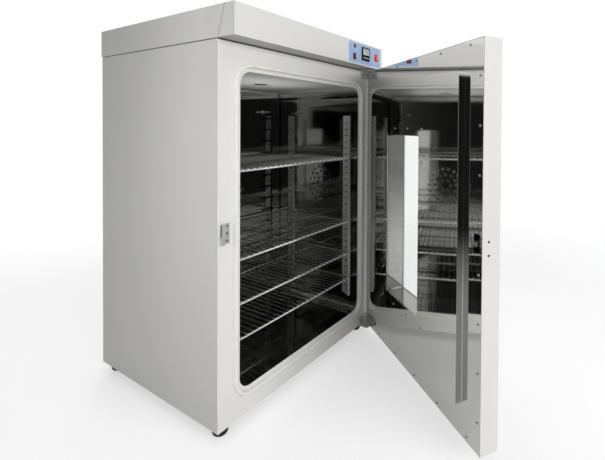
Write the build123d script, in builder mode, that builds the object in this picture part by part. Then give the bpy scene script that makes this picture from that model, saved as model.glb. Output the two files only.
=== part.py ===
from build123d import *
import os
from math import cos, pi, radians, sin, tan

os.makedirs("parts", exist_ok=True)

# Hot air drying oven with its door standing open.
# X runs along the front to the right, Y to the back, Z up. The origin is on the floor,
# under the middle of the cabinet. All sizes are in millimetres.

# Cabinet
cabinet_width = 700.0
cabinet_depth = 585.0
cabinet_height = 1000.0
shell_sheet = 1.2
shell_edge_radius = 3.0
foot_height = 28.0
foot_diameter = 44.0
foot_inset = 33.0
foot_draft = 2.0
foot_edge = 3.0
rear_panel_return = 14.0
louvre_length = 110.0
louvre_height = 5.0
louvre_pitch = 14.0
louvre_rows = 10
louvre_column_pitch = 143.0

# Chamber and its rim, with the spaces that the cabinet keeps around it
side_frame_width = 68.0
chamber_floor_height = 72.0
chamber_roof_space = 72.0
chamber_rear_space = 113.8
chamber_corner_radius = 36.0
liner_sheet = 1.2
liner_flange = 10.0
insulation_front_gap = 4.0
rear_insulation = 45.0
gasket_width = 14.0
gasket_height = 10.4
gasket_setback = 9.0
gasket_edge_radius = 4.0

# Hood and control fascia
hood_height = 82.0
hood_gap = 2.0
hood_overhang = 62.0
hood_side_proud = 1.5
hood_back_proud = 2.5
hood_sheet = 1.2
hood_edge_radius = 2.0
hood_seam = 0.6
fascia_top_depth = 36.0
fascia_foot_depth = 24.0
fascia_foot_lap = 2.4
packing_setback = 4.0
hood_rail_height = 54.0
hood_rail_foot = 30.0
hood_rail_sheet = 1.5
hood_rail_end_gap = 30.0
support_bar_height = 30.0

# Control panel, with places measured from the hood's right end and its bottom edge
label_width = 210.0
label_height = 72.0
label_right_margin = 15.0
label_bottom_margin = 5.0
label_sheet = 0.5
controller_size = 48.0
controller_edge_radius = 1.5
controller_bezel_depth = 5.0
controller_body_size = 44.0
controller_body_depth = 70.0
controller_from_right = 121.0
controller_height = 43.0
display_width = 38.0
display_height = 22.0
display_rise = 8.0
display_depth = 1.2
display_sheet = 0.9
key_width = 7.0
key_height = 4.6
key_depth = 3.0
key_proud = 0.8
key_pitch = 10.0
key_drop = 14.5
key_travel = 0.6
key_names = ["set_key", "shift_key", "down_key", "up_key"]
lamp_diameter = 10.0
lamp_dome_height = 3.5
lamp_lens_edge = 2.4
lamp_bezel_diameter = 14.0
lamp_bezel_height = 1.6
lamp_barrel_diameter = 9.0
lamp_barrel_length = 24.0
lamp_from_right = 190.5
lamp_height = 63.0
light_switch_width = 17.0
light_switch_height = 22.0
light_switch_from_right = 190.0
light_switch_level = 27.0
power_switch_width = 25.0
power_switch_height = 35.0
power_switch_from_right = 50.0
power_switch_level = 41.0
switch_bezel_depth = 2.0
switch_bezel_lip = 1.2
switch_wall = 2.4
switch_body_depth = 20.0
rocker_depth = 5.0
rocker_rise = 1.0
rocker_tilt = 9.0
panel_clearance = 0.3
moving_clearance = 0.4

# Door
door_angle = 55.0
door_thickness = 54.0
door_gap = 11.0
door_bottom_gap = 5.0
door_top_gap = 5.0
door_sheet = 1.2
door_edge_radius = 3.0
door_lip = 14.0
plug_proud = 18.0
plug_clearance = 5.0
plug_corner_radius = 20.0
plug_edge_radius = 1.0
inner_panel_inset = 1.5
window_width = 208.0
window_height = 535.0
window_from_hinge_edge = 224.0
window_bottom = 220.0
window_corner_radius = 5.0
glass_thickness = 4.0
glass_lap = 14.0
outer_seal_thickness = 3.0
tunnel_sheet = 1.2
tunnel_flange = 11.0
door_fill_clearance = 2.0

# Door hinge
pivot_from_side = 10.0
pivot_from_front = 30.0
hinge_pin_diameter = 8.0
hinge_pin_fit = 0.05
hinge_pin_reach = 16.0
hinge_pin_head_diameter = 13.0
hinge_pin_head_height = 1.2
hinge_bush_diameter = 12.6
hinge_bush_length = 20.0
hinge_bush_flange_diameter = 17.0
hinge_bush_flange_sheet = 1.5
hinge_leaf_width = 56.0
hinge_leaf_thickness = 3.0
hinge_leaf_margin = 10.0
hinge_leaf_radius = 8.0
hinge_leaf_clearance = 1.5
hinge_plate_height = 31.0
hinge_hole_diameter = 6.0
hinge_hole_pitch = 32.0

# Latch and handle, with places measured from the door's free edge
latch_height = 506.0
strike_height = 53.0
strike_outer = 2.0
strike_ridge_width = 15.0
strike_ridge_height = 8.0
strike_ridge_radius = 3.0
strike_base_width = 17.0
strike_sheet = 1.5
strike_hole_diameter = 5.0
strike_hole_pitch = 19.4
strike_hole_inset = 7.6
strike_window_height = 18.0
latch_slot_inset = 8.0
latch_slot_width = 24.0
latch_slot_height = 46.0
latch_slot_radius = 3.0
latch_travel = 6.0
latch_bite = 4.0
latch_nose_depth = 2.8
latch_hook_clearance = 0.5
latch_finger_clearance = 2.5
latch_finger_width = 5.0
latch_finger_height = 12.0
latch_case_width = 96.0
latch_case_height = 62.0
latch_case_depth = 22.0
latch_case_sheet = 1.5
latch_case_inset = 3.0
latch_bar_depth = 4.0
latch_bar_end_clearance = 4.0
cam_radius = 12.0
cam_pin_diameter = 5.0
cam_arm_thickness = 4.0
cam_arm_width = 14.0
cam_slot_play = 0.4
cam_slot_height = 12.0
handle_from_edge = 75.0
spindle_diameter = 10.0
spindle_fit = 0.05
spindle_hole_clearance = 2.0
handle_rose_diameter = 52.0
handle_rose_height = 8.0
handle_rose_edge = 2.4
handle_hub_diameter = 26.0
handle_standoff = 32.0
handle_length = 118.0
handle_width = 24.0
handle_thickness = 13.0
handle_corner_radius = 8.0
handle_edge_radius = 3.0

# Shelving
shelf_slots = [2, 6, 11, 21]
shelf_front_setback = 27.0
shelf_rear_gap = 20.2
shelf_rod = 6.0
shelf_wire = 3.2
rod_sides = 8
wire_sides = 6
shelf_wire_pitch = 21.0
shelf_weld_sink = 0.4
shelf_corner_radius = 14.0
shelf_side_clearance = 1.0
upright_width = 30.0
upright_depth = 5.5
upright_sheet = 1.2
upright_bottom = 42.0
upright_top_gap = 105.0
upright_end_slope = 14.0
upright_front_setback = 38.0
upright_rear_gap = 53.2
upright_end_margin = 18.5
upright_slot_pitch = 24.5
upright_slot_width = 13.0
upright_slot_height = 4.0
clip_width = 12.0
clip_sheet = 1.5
clip_rise = 7.0
clip_drop = 6.0
clip_tongue_length = 9.0
clip_hook_depth = 2.6
clip_hook_height = 2.6
rest_clearance = 0.3

# Air circulation
duct_depth = 58.0
duct_sheet = 1.2
duct_gap = 4.0
duct_slot_length = 70.0
duct_slot_height = 7.0
duct_slot_pitch = 48.0
duct_slot_rows = 14
duct_slot_inset = 75.0
intake_hole_diameter = 15.0
intake_hole_sides = 6
intake_ring_pitch = 26.0
intake_ring_count = 3
intake_holes_per_ring = 6
wheel_diameter = 210.0
wheel_depth = 34.0
wheel_sheet = 1.2
wheel_blades = 18
wheel_blade_length = 30.0
wheel_blade_angle = 35.0
wheel_rear_gap = 8.0
wheel_hub_diameter = 26.0
shaft_diameter = 10.0
shaft_fit = 0.05
shaft_clearance = 2.0
shaft_bearing_length = 30.0
motor_diameter = 92.0
motor_length = 46.0
motor_edge = 4.0
motor_plate_size = 150.0
motor_plate_sheet = 2.0
motor_plate_gap = 1.0
motor_post_diameter = 12.0
motor_post_pitch = 120.0
heater_ring_radius = 130.0
heater_tube_diameter = 8.0
heater_tube_sides = 8
heater_bend_radius = 12.0
heater_gap_angle = 24.0
heater_terminal_reach = 12.0
probe_diameter = 5.0
probe_length = 62.0
probe_reach = 40.0
probe_collar_diameter = 14.0
probe_collar_height = 4.0
probe_drop = 90.0
probe_offset = 180.0

# Vent on the hood
vent_diameter = 50.0
vent_sheet = 1.2
vent_setback = 230.0
vent_deck_gap = 20.0
vent_rosette_diameter = 88.0
vent_rosette_height = 4.0
vent_rosette_edge = 1.2
vent_pin_diameter = 8.0
vent_pin_fit = 0.05
vent_pin_head_diameter = 14.0
vent_pin_head_height = 2.0
vent_openings = 4
vent_opening_inner = 11.0
vent_opening_outer = 23.0
vent_opening_angle = 40.0
vent_damper_rim = 4.0
vent_damper_height = 2.5
vent_grip_height = 5.0
vent_grip_width = 5.0

# Cord gland at the back and electrical parts under the hood
gland_diameter = 20.0
gland_bore = 9.0
gland_nut_width = 26.0
gland_nut_sides = 6
gland_nut_height = 6.0
gland_dome_height = 16.0
gland_dome_edge = 3.0
gland_tail_length = 10.0
gland_height = 90.0
gland_from_right = 90.0
relay_width = 45.0
relay_length = 60.0
relay_height = 24.0
relay_edge = 3.0
relay_offset = 60.0
sink_width = 80.0
sink_length = 90.0
sink_base = 5.0
sink_height = 30.0
sink_fins = 9
sink_fin_thickness = 1.8
sink_offset = 160.0
terminal_length = 110.0
terminal_width = 22.0
terminal_height = 18.0
terminal_ways = 6
terminal_way_pitch = 17.0
terminal_way_width = 13.0
terminal_way_depth = 8.0
terminal_offset = -60.0
electrics_setback = 120.0

# Reference places worked out from the sizes above
half_width = cabinet_width / 2
front_y = -cabinet_depth / 2
rear_y = cabinet_depth / 2
base_z = foot_height
deck_z = base_z + cabinet_height
hood_z = deck_z + hood_gap
hood_top_z = hood_z + hood_height
chamber_width = cabinet_width - 2 * side_frame_width
chamber_height = cabinet_height - chamber_floor_height - chamber_roof_space
chamber_depth = cabinet_depth - shell_sheet - chamber_rear_space
chamber_floor_z = base_z + chamber_floor_height
chamber_middle_z = chamber_floor_z + chamber_height / 2
chamber_top_z = chamber_floor_z + chamber_height
liner_front_y = front_y + shell_sheet
liner_rear_y = liner_front_y + chamber_depth
insulation_rear_y = liner_rear_y + liner_sheet + rear_insulation
duct_y = liner_rear_y - duct_depth
hood_width = cabinet_width + 2 * hood_side_proud
hood_right_x = hood_width / 2
hood_inner_half = hood_right_x - hood_sheet
fascia_y = front_y - hood_overhang
label_y = fascia_y - label_sheet
vent_y = front_y + vent_setback
upright_z = chamber_floor_z + upright_bottom
upright_height = chamber_height - upright_bottom - upright_top_gap
upright_face_x = chamber_width / 2 - upright_depth
upright_places_y = [
    front_y + upright_front_setback + upright_width / 2,
    duct_y - upright_rear_gap - upright_width / 2,
]
slot_count = int((upright_height - 2 * upright_end_margin) / upright_slot_pitch) + 1


def facing_front(y):
    """An upright plane that faces the front: its own x is X and its own y is Z."""
    return Plane(origin=(0, y, 0), x_dir=(1, 0, 0), z_dir=(0, -1, 0))


def save(piece, name):
    piece.part.label = name
    export_step(piece.part, f"parts/{name}.step")


def chamber_outline(growth, mode=Mode.ADD):
    """The chamber's rounded outline, grown outward by the amount given."""
    with Locations((0, chamber_middle_z)):
        RectangleRounded(
            chamber_width + 2 * growth,
            chamber_height + 2 * growth,
            chamber_corner_radius + growth,
            mode=mode,
        )


def vent_circle(gap):
    """The hole that the vent tube passes through, with a gap around the tube."""
    with Locations((0, vent_y)):
        Circle(vent_diameter / 2 + gap)


# Cabinet shell: one painted wrap with the front face, open at the back
with BuildPart() as cabinet_shell:
    with BuildSketch(facing_front(rear_y)):
        with Locations((0, base_z + cabinet_height / 2)):
            Rectangle(cabinet_width, cabinet_height)
    extrude(amount=cabinet_depth)
    fillet(faces().sort_by(Axis.Y)[0].edges().filter_by(Axis.Z), shell_edge_radius)
    offset(amount=-shell_sheet, openings=faces().sort_by(Axis.Y)[-1])
    with BuildSketch(facing_front(front_y)):
        chamber_outline(0)
    extrude(amount=-shell_sheet, mode=Mode.SUBTRACT)
    with BuildSketch(Plane.XY.offset(deck_z)):
        vent_circle(vent_deck_gap)
    extrude(amount=-shell_sheet, mode=Mode.SUBTRACT)
save(cabinet_shell, "cabinet_shell")

# Rear panel: a shallow pan with cooling slots behind the fan motor
gland_x = half_width - gland_from_right
gland_z = base_z + gland_height
with BuildPart() as rear_panel:
    with BuildSketch(facing_front(rear_y)):
        with Locations((0, base_z + cabinet_height / 2)):
            Rectangle(cabinet_width - 2 * shell_sheet, cabinet_height - 2 * shell_sheet)
    extrude(amount=rear_panel_return)
    offset(amount=-shell_sheet, openings=faces().sort_by(Axis.Y)[0])
    with BuildSketch(facing_front(rear_y)):
        with Locations((0, chamber_middle_z)):
            with GridLocations(louvre_column_pitch, louvre_pitch, 2, louvre_rows):
                Rectangle(louvre_length, louvre_height)
        with Locations((gland_x, gland_z)):
            Circle(gland_diameter / 2 + panel_clearance)
    extrude(amount=shell_sheet, mode=Mode.SUBTRACT)
save(rear_panel, "rear_panel")

# Chamber liner: polished tub with rounded corners, a closed back and a front flange
heater_end_angles = (90 - heater_gap_angle / 2, 90 + heater_gap_angle / 2)
heater_legs = [
    (
        heater_ring_radius * cos(radians(a)) + side * heater_bend_radius * sin(radians(a)),
        heater_ring_radius * sin(radians(a)) - side * heater_bend_radius * cos(radians(a)),
    )
    for side, a in zip((-1, 1), heater_end_angles)
]


def service_holes():
    """Holes for the fan shaft and the heater's legs, around the chamber's middle."""
    with Locations((0, chamber_middle_z)):
        Circle(shaft_diameter / 2 + shaft_clearance)
        with Locations(*heater_legs):
            Circle(heater_tube_diameter / 2 + panel_clearance)


with BuildPart() as chamber_liner:
    with BuildSketch(facing_front(liner_front_y)):
        chamber_outline(liner_sheet + liner_flange)
    extrude(amount=-liner_sheet)
    with BuildSketch(facing_front(liner_front_y)):
        chamber_outline(liner_sheet)
    extrude(amount=-(chamber_depth + liner_sheet))
    with BuildSketch(facing_front(liner_front_y)):
        chamber_outline(0)
    extrude(amount=-chamber_depth, mode=Mode.SUBTRACT)
    with BuildSketch(facing_front(liner_rear_y)):
        service_holes()
    extrude(amount=-liner_sheet, mode=Mode.SUBTRACT)
    with BuildSketch(Plane.XY.offset(chamber_top_z)):
        vent_circle(panel_clearance)
    extrude(amount=liner_sheet, mode=Mode.SUBTRACT)
save(chamber_liner, "chamber_liner")

# Insulation jacket: mineral wool that fills the space between liner and shell
wool_front_y = liner_front_y + liner_sheet + insulation_front_gap
with BuildPart() as insulation_jacket:
    with BuildSketch(facing_front(wool_front_y)):
        with Locations((0, base_z + cabinet_height / 2)):
            Rectangle(cabinet_width - 2 * shell_sheet, cabinet_height - 2 * shell_sheet)
    extrude(amount=-(insulation_rear_y - wool_front_y))
    with BuildSketch(facing_front(wool_front_y)):
        chamber_outline(liner_sheet)
    extrude(amount=-(liner_rear_y + liner_sheet - wool_front_y), mode=Mode.SUBTRACT)
    with BuildSketch(facing_front(insulation_rear_y)):
        service_holes()
        with Locations((0, chamber_middle_z)):
            with GridLocations(motor_post_pitch, motor_post_pitch, 2, 2):
                Circle(motor_post_diameter / 2 + panel_clearance)
    extrude(amount=rear_insulation, mode=Mode.SUBTRACT)
    with BuildSketch(Plane.XY.offset(deck_z - shell_sheet)):
        vent_circle(panel_clearance)
    extrude(amount=-(deck_z - shell_sheet - chamber_top_z), mode=Mode.SUBTRACT)
save(insulation_jacket, "insulation_jacket")

# Door gasket: moulded silicone ring that stands proud around the chamber's mouth
with BuildPart() as door_gasket:
    with BuildSketch(facing_front(front_y)):
        chamber_outline(gasket_setback + gasket_width)
        chamber_outline(gasket_setback, Mode.SUBTRACT)
    extrude(amount=gasket_height)
    fillet(faces().sort_by(Axis.Y)[0].edges(), gasket_edge_radius)
save(door_gasket, "door_gasket")

# Feet: four round rubber feet under the corners
with BuildPart() as rubber_feet:
    with BuildSketch(Plane.XY.offset(base_z)):
        with GridLocations(
            cabinet_width - 2 * foot_inset, cabinet_depth - 2 * foot_inset, 2, 2
        ):
            Circle(foot_diameter / 2)
    extrude(amount=-foot_height, taper=foot_draft)
    chamfer(faces().group_by(Axis.Z)[0].edges(), foot_edge)
save(rubber_feet, "rubber_feet")

# Hood frame: two side rails, a cross bar and a packing strip, welded together on the deck
with BuildPart() as hood_frame:
    with BuildSketch(facing_front(front_y + fascia_foot_depth)):
        with Locations((hood_inner_half - hood_rail_foot / 2, deck_z + hood_rail_sheet / 2)):
            Rectangle(hood_rail_foot, hood_rail_sheet)
        with Locations((hood_inner_half - hood_rail_sheet / 2, deck_z + hood_rail_height / 2)):
            Rectangle(hood_rail_sheet, hood_rail_height)
    extrude(amount=-(cabinet_depth - fascia_foot_depth - hood_rail_end_gap))
    mirror(about=Plane.YZ)
    with BuildSketch(facing_front(front_y + fascia_foot_depth)):
        with Locations((0, deck_z + support_bar_height / 2)):
            Rectangle(2 * hood_inner_half, support_bar_height)
    extrude(amount=-hood_rail_sheet)
    with BuildSketch(facing_front(front_y + packing_setback)):
        with Locations((0, deck_z + hood_gap / 2)):
            Rectangle(cabinet_width - 2 * packing_setback, hood_gap)
    extrude(amount=-(fascia_foot_depth - packing_setback))
save(hood_frame, "hood_frame")

# Hood cover: top, sides and back in one painted piece, open towards the fascia
seam_bottom_y = front_y
seam_top_y = fascia_y + fascia_top_depth
hood_rear_y = rear_y + hood_back_proud
with BuildPart() as hood_cover:
    with BuildSketch(Plane.YZ.offset(-hood_right_x)):
        with BuildLine():
            Polyline(
                (seam_bottom_y + hood_seam, hood_z),
                (seam_top_y + hood_seam, hood_top_z),
                (hood_rear_y, hood_top_z),
                (hood_rear_y, hood_z),
                close=True,
            )
        make_face()
    extrude(amount=hood_width)
    rear_edges = edges().filter_by(Axis.X).group_by(Axis.Y)[-1]
    fillet(rear_edges.sort_by(Axis.Z)[-1], hood_edge_radius)
    slanted_face = faces().sort_by(Axis.Y)[0]
    bottom_face = faces().sort_by(Axis.Z)[0]
    offset(amount=-hood_sheet, openings=[slanted_face, bottom_face])
    with BuildSketch(Plane.XY.offset(hood_top_z)):
        vent_circle(panel_clearance)
    extrude(amount=-hood_sheet, mode=Mode.SUBTRACT)
save(hood_cover, "hood_cover")


def panel_place(from_right, height):
    """A point on the control panel, as X and Z."""
    return (hood_right_x - from_right, hood_z + height)


controller_place = panel_place(controller_from_right, controller_height)
lamp_place = panel_place(lamp_from_right, lamp_height)
label_place = panel_place(
    label_right_margin + label_width / 2, label_bottom_margin + label_height / 2
)
switches = {
    "light": (
        panel_place(light_switch_from_right, light_switch_level),
        light_switch_width,
        light_switch_height,
    ),
    "power": (
        panel_place(power_switch_from_right, power_switch_level),
        power_switch_width,
        power_switch_height,
    ),
}


def panel_holes(mode):
    """The holes that the control parts pass through."""
    body_hole = controller_body_size + 2 * panel_clearance
    with Locations(controller_place):
        Rectangle(body_hole, body_hole, mode=mode)
    with Locations(lamp_place):
        Circle(lamp_barrel_diameter / 2 + panel_clearance, mode=mode)
    for place, width, height in switches.values():
        trim = 2 * (switch_bezel_lip - panel_clearance)
        with Locations(place):
            Rectangle(width - trim, height - trim, mode=mode)


# Control fascia: folded front of the hood, whose ends lean forward to the top
with BuildPart() as control_fascia:
    with BuildSketch(Plane.YZ.offset(-hood_right_x)):
        with BuildLine():
            Polyline(
                (fascia_y, hood_z),
                (fascia_y, hood_top_z),
                (seam_top_y, hood_top_z),
                (seam_bottom_y, hood_z),
                close=True,
            )
        make_face()
    extrude(amount=hood_width)
    fillet(faces().sort_by(Axis.Y)[0].edges().filter_by(Axis.X), hood_edge_radius)
    offset(amount=-hood_sheet, openings=faces().sort_by(Axis.Y)[-1])
    with BuildSketch(facing_front(front_y - fascia_foot_lap)):
        with Locations((0, hood_z + hood_sheet / 2)):
            Rectangle(cabinet_width - 2 * packing_setback, hood_sheet)
    extrude(amount=-(fascia_foot_depth + fascia_foot_lap))
    with BuildSketch(facing_front(fascia_y)):
        panel_holes(Mode.ADD)
    extrude(amount=-hood_sheet, mode=Mode.SUBTRACT)
save(control_fascia, "control_fascia")

# Control label: thin plastic sheet on the fascia
with BuildPart() as control_label:
    with BuildSketch(facing_front(fascia_y)):
        with Locations(label_place):
            Rectangle(label_width, label_height)
        panel_holes(Mode.SUBTRACT)
    extrude(amount=label_sheet)
save(control_label, "control_label")

# Temperature controller: square bezel with a display window and four key wells
controller_face_y = label_y - controller_bezel_depth
display_place = (controller_place[0], controller_place[1] + display_rise)
first_key_x = controller_place[0] - key_pitch * (len(key_names) - 1) / 2
key_z = controller_place[1] - key_drop
key_places = [(first_key_x + key_pitch * i, key_z) for i in range(len(key_names))]
with BuildPart() as temperature_controller:
    with BuildSketch(facing_front(label_y)):
        with Locations(controller_place):
            RectangleRounded(controller_size, controller_size, controller_edge_radius)
    extrude(amount=controller_bezel_depth)
    chamfer(faces().sort_by(Axis.Y)[0].edges(), controller_edge_radius / 2)
    with BuildSketch(facing_front(label_y)):
        with Locations(controller_place):
            Rectangle(controller_body_size, controller_body_size)
    extrude(amount=-controller_body_depth)
    with BuildSketch(facing_front(controller_face_y)):
        with Locations(display_place):
            Rectangle(display_width + 2 * panel_clearance, display_height + 2 * panel_clearance)
    extrude(amount=-display_depth, mode=Mode.SUBTRACT)
    with BuildSketch(facing_front(controller_face_y)):
        with Locations(*key_places):
            Rectangle(key_width + 2 * moving_clearance, key_height + 2 * moving_clearance)
    extrude(amount=-(key_depth + key_travel + moving_clearance), mode=Mode.SUBTRACT)
save(temperature_controller, "temperature_controller")

with BuildPart() as controller_display:
    with BuildSketch(facing_front(controller_face_y + display_depth)):
        with Locations(display_place):
            Rectangle(display_width, display_height)
    extrude(amount=display_sheet)
save(controller_display, "controller_display")

# Controller keys: four small push keys that travel inward
for key_name, key_place in zip(key_names, key_places):
    with BuildPart() as controller_key:
        with BuildSketch(facing_front(controller_face_y + key_depth)):
            with Locations(key_place):
                Rectangle(key_width, key_height)
        extrude(amount=key_depth + key_proud)
        fillet(faces().sort_by(Axis.Y)[0].edges(), key_proud / 2)
    save(controller_key, key_name)

# Indicator lamp: barrel with a bezel, and a domed lens on it
with BuildPart() as lamp_bezel:
    with BuildSketch(facing_front(label_y)):
        with Locations(lamp_place):
            Circle(lamp_bezel_diameter / 2)
    extrude(amount=lamp_bezel_height)
    with BuildSketch(facing_front(label_y)):
        with Locations(lamp_place):
            Circle(lamp_barrel_diameter / 2)
    extrude(amount=-lamp_barrel_length)
save(lamp_bezel, "lamp_bezel")

with BuildPart() as lamp_lens:
    with BuildSketch(facing_front(label_y - lamp_bezel_height)):
        with Locations(lamp_place):
            Circle(lamp_diameter / 2)
    extrude(amount=lamp_dome_height)
    chamfer(faces().sort_by(Axis.Y)[0].edges(), lamp_lens_edge)
save(lamp_lens, "lamp_lens")

# Rocker switches: a bezelled frame with a pocket, and a rocker that tips in it
for switch_name, (switch_place, switch_width, switch_height) in switches.items():
    pocket_width = switch_width - 2 * switch_wall
    pocket_height = switch_height - 2 * switch_wall
    rocker_radius = pocket_height / 2 - moving_clearance
    rocker_width = pocket_width - 2 * moving_clearance
    rocker_swing = rocker_radius * sin(radians(rocker_tilt))
    pocket_depth = rocker_depth + rocker_swing + moving_clearance
    switch_face_y = label_y - switch_bezel_depth
    with BuildPart() as switch_frame:
        with BuildSketch(facing_front(label_y)):
            with Locations(switch_place):
                RectangleRounded(switch_width, switch_height, switch_bezel_lip)
        extrude(amount=switch_bezel_depth)
        chamfer(faces().sort_by(Axis.Y)[0].edges(), switch_bezel_lip / 2)
        with BuildSketch(facing_front(label_y)):
            with Locations(switch_place):
                Rectangle(
                    switch_width - 2 * switch_bezel_lip, switch_height - 2 * switch_bezel_lip
                )
        extrude(amount=-switch_body_depth)
        with BuildSketch(facing_front(switch_face_y)):
            with Locations(switch_place):
                Rectangle(pocket_width, pocket_height)
        extrude(amount=-pocket_depth, mode=Mode.SUBTRACT)
    save(switch_frame, f"{switch_name}_switch_frame")

    # The rocker's ends are arcs about its pivot, so they keep their gap while it tips.
    pivot_side = (switch_place[0] + rocker_width / 2, switch_face_y, switch_place[1])
    tipped = Plane(
        origin=pivot_side,
        x_dir=(0, -cos(radians(rocker_tilt)), sin(radians(rocker_tilt))),
        z_dir=(-1, 0, 0),
    )
    horn = rocker_rise + rocker_radius * tan(radians(rocker_tilt))
    with BuildPart() as switch_rocker:
        with BuildSketch(tipped):
            with BuildLine():
                Polyline(
                    (-rocker_depth, -rocker_radius),
                    (-rocker_depth, rocker_radius),
                    (horn, rocker_radius),
                    (rocker_rise, 0),
                    (horn, -rocker_radius),
                    close=True,
                )
            make_face()
            Circle(rocker_radius, mode=Mode.INTERSECT)
        extrude(amount=rocker_width)
    save(switch_rocker, f"{switch_name}_switch_rocker")

# Cord gland: hexagon nut and domed clamp on the rear panel, with its bore
with BuildPart() as power_gland:
    with BuildSketch(facing_front(rear_y)):
        with Locations((gland_x, gland_z)):
            RegularPolygon(gland_nut_width / 2, gland_nut_sides, major_radius=False)
    extrude(amount=-gland_nut_height)
    with BuildSketch(facing_front(rear_y + gland_nut_height)):
        with Locations((gland_x, gland_z)):
            Circle(gland_diameter / 2)
    extrude(amount=-(gland_dome_height - gland_nut_height))
    chamfer(faces().sort_by(Axis.Y)[-1].edges(), gland_dome_edge)
    with BuildSketch(facing_front(rear_y)):
        with Locations((gland_x, gland_z)):
            Circle(gland_diameter / 2)
    extrude(amount=gland_tail_length)
    with BuildSketch(facing_front(rear_y + gland_dome_height)):
        with Locations((gland_x, gland_z)):
            Circle(gland_bore / 2)
    extrude(amount=gland_dome_height + gland_tail_length, mode=Mode.SUBTRACT)
save(power_gland, "power_gland")

# Solid state relay, finned heat sink and terminal block, on the deck under the hood
electrics_y = front_y + electrics_setback
with BuildPart() as relay:
    with BuildSketch(Plane.XY.offset(deck_z)):
        with Locations((relay_offset, electrics_y)):
            Rectangle(relay_width, relay_length)
    extrude(amount=relay_height)
    chamfer(faces().sort_by(Axis.Z)[-1].edges(), relay_edge)
save(relay, "relay")

sink_fin_pitch = (sink_width - sink_fin_thickness) / (sink_fins - 1)
with BuildPart() as heat_sink:
    with BuildSketch(Plane.XY.offset(deck_z)):
        with Locations((sink_offset, electrics_y)):
            Rectangle(sink_width, sink_length)
    extrude(amount=sink_base)
    with BuildSketch(Plane.XY.offset(deck_z + sink_base)):
        with Locations((sink_offset, electrics_y)):
            with GridLocations(sink_fin_pitch, 0, sink_fins, 1):
                Rectangle(sink_fin_thickness, sink_length)
    extrude(amount=sink_height - sink_base)
save(heat_sink, "heat_sink")

with BuildPart() as terminal_block:
    with BuildSketch(Plane.XY.offset(deck_z)):
        with Locations((terminal_offset, electrics_y)):
            Rectangle(terminal_length, terminal_width)
    extrude(amount=terminal_height)
    with BuildSketch(Plane.XY.offset(deck_z + terminal_height)):
        with Locations((terminal_offset, electrics_y)):
            with GridLocations(terminal_way_pitch, 0, terminal_ways, 1):
                Rectangle(terminal_way_width, terminal_width)
    extrude(amount=-terminal_way_depth, mode=Mode.SUBTRACT)
save(terminal_block, "terminal_block")

# Vent: a tube from the chamber's ceiling to the hood, a rosette and a turning damper
with BuildPart() as vent_tube:
    with BuildSketch(Plane.XY.offset(chamber_top_z)):
        with Locations((0, vent_y)):
            Circle(vent_diameter / 2)
            Circle(vent_diameter / 2 - vent_sheet, mode=Mode.SUBTRACT)
    extrude(amount=hood_top_z - chamber_top_z)
save(vent_tube, "vent_tube")


def vent_sectors(first_angle):
    """Ring sectors that let the air through, the first one at the angle given."""
    for i in range(vent_openings):
        start = first_angle + i * 360 / vent_openings - vent_opening_angle / 2
        with BuildLine(mode=Mode.PRIVATE) as sector:
            outer = CenterArc((0, vent_y), vent_opening_outer, start, vent_opening_angle)
            inner = CenterArc((0, vent_y), vent_opening_inner, start, vent_opening_angle)
            Line(outer @ 0, inner @ 0)
            Line(outer @ 1, inner @ 1)
        make_face(sector.edges())


rosette_top_z = hood_top_z + vent_rosette_height
damper_z = rosette_top_z + rest_clearance
damper_top_z = damper_z + vent_damper_height
with BuildPart() as vent_rosette:
    with BuildSketch(Plane.XY.offset(hood_top_z)):
        with Locations((0, vent_y)):
            Circle(vent_rosette_diameter / 2)
    extrude(amount=vent_rosette_height)
    chamfer(faces().sort_by(Axis.Z)[-1].edges(), vent_rosette_edge)
    with BuildSketch(Plane.XY.offset(rosette_top_z)):
        vent_sectors(0)
    extrude(amount=-vent_rosette_height, mode=Mode.SUBTRACT)
    with BuildSketch(Plane.XY.offset(rosette_top_z)):
        with Locations((0, vent_y)):
            Circle(vent_pin_diameter / 2)
    extrude(amount=damper_top_z + rest_clearance - rosette_top_z)
    with BuildSketch(Plane.XY.offset(damper_top_z + rest_clearance)):
        with Locations((0, vent_y)):
            Circle(vent_pin_head_diameter / 2)
    extrude(amount=vent_pin_head_height)
save(vent_rosette, "vent_rosette")

damper_radius = vent_opening_outer + vent_damper_rim
grip_length = damper_radius - vent_opening_inner
with BuildPart() as vent_damper:
    with BuildSketch(Plane.XY.offset(damper_z)):
        with Locations((0, vent_y)):
            Circle(damper_radius)
            Circle(vent_pin_diameter / 2 + vent_pin_fit, mode=Mode.SUBTRACT)
    extrude(amount=vent_damper_height)
    with BuildSketch(Plane.XY.offset(damper_z)):
        vent_sectors(180 / vent_openings)
    extrude(amount=vent_damper_height, mode=Mode.SUBTRACT)
    with BuildSketch(Plane.XY.offset(damper_top_z)):
        with Locations((damper_radius - grip_length / 2, vent_y)):
            Rectangle(grip_length, vent_grip_width)
    extrude(amount=vent_grip_height)
save(vent_damper, "vent_damper")

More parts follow.
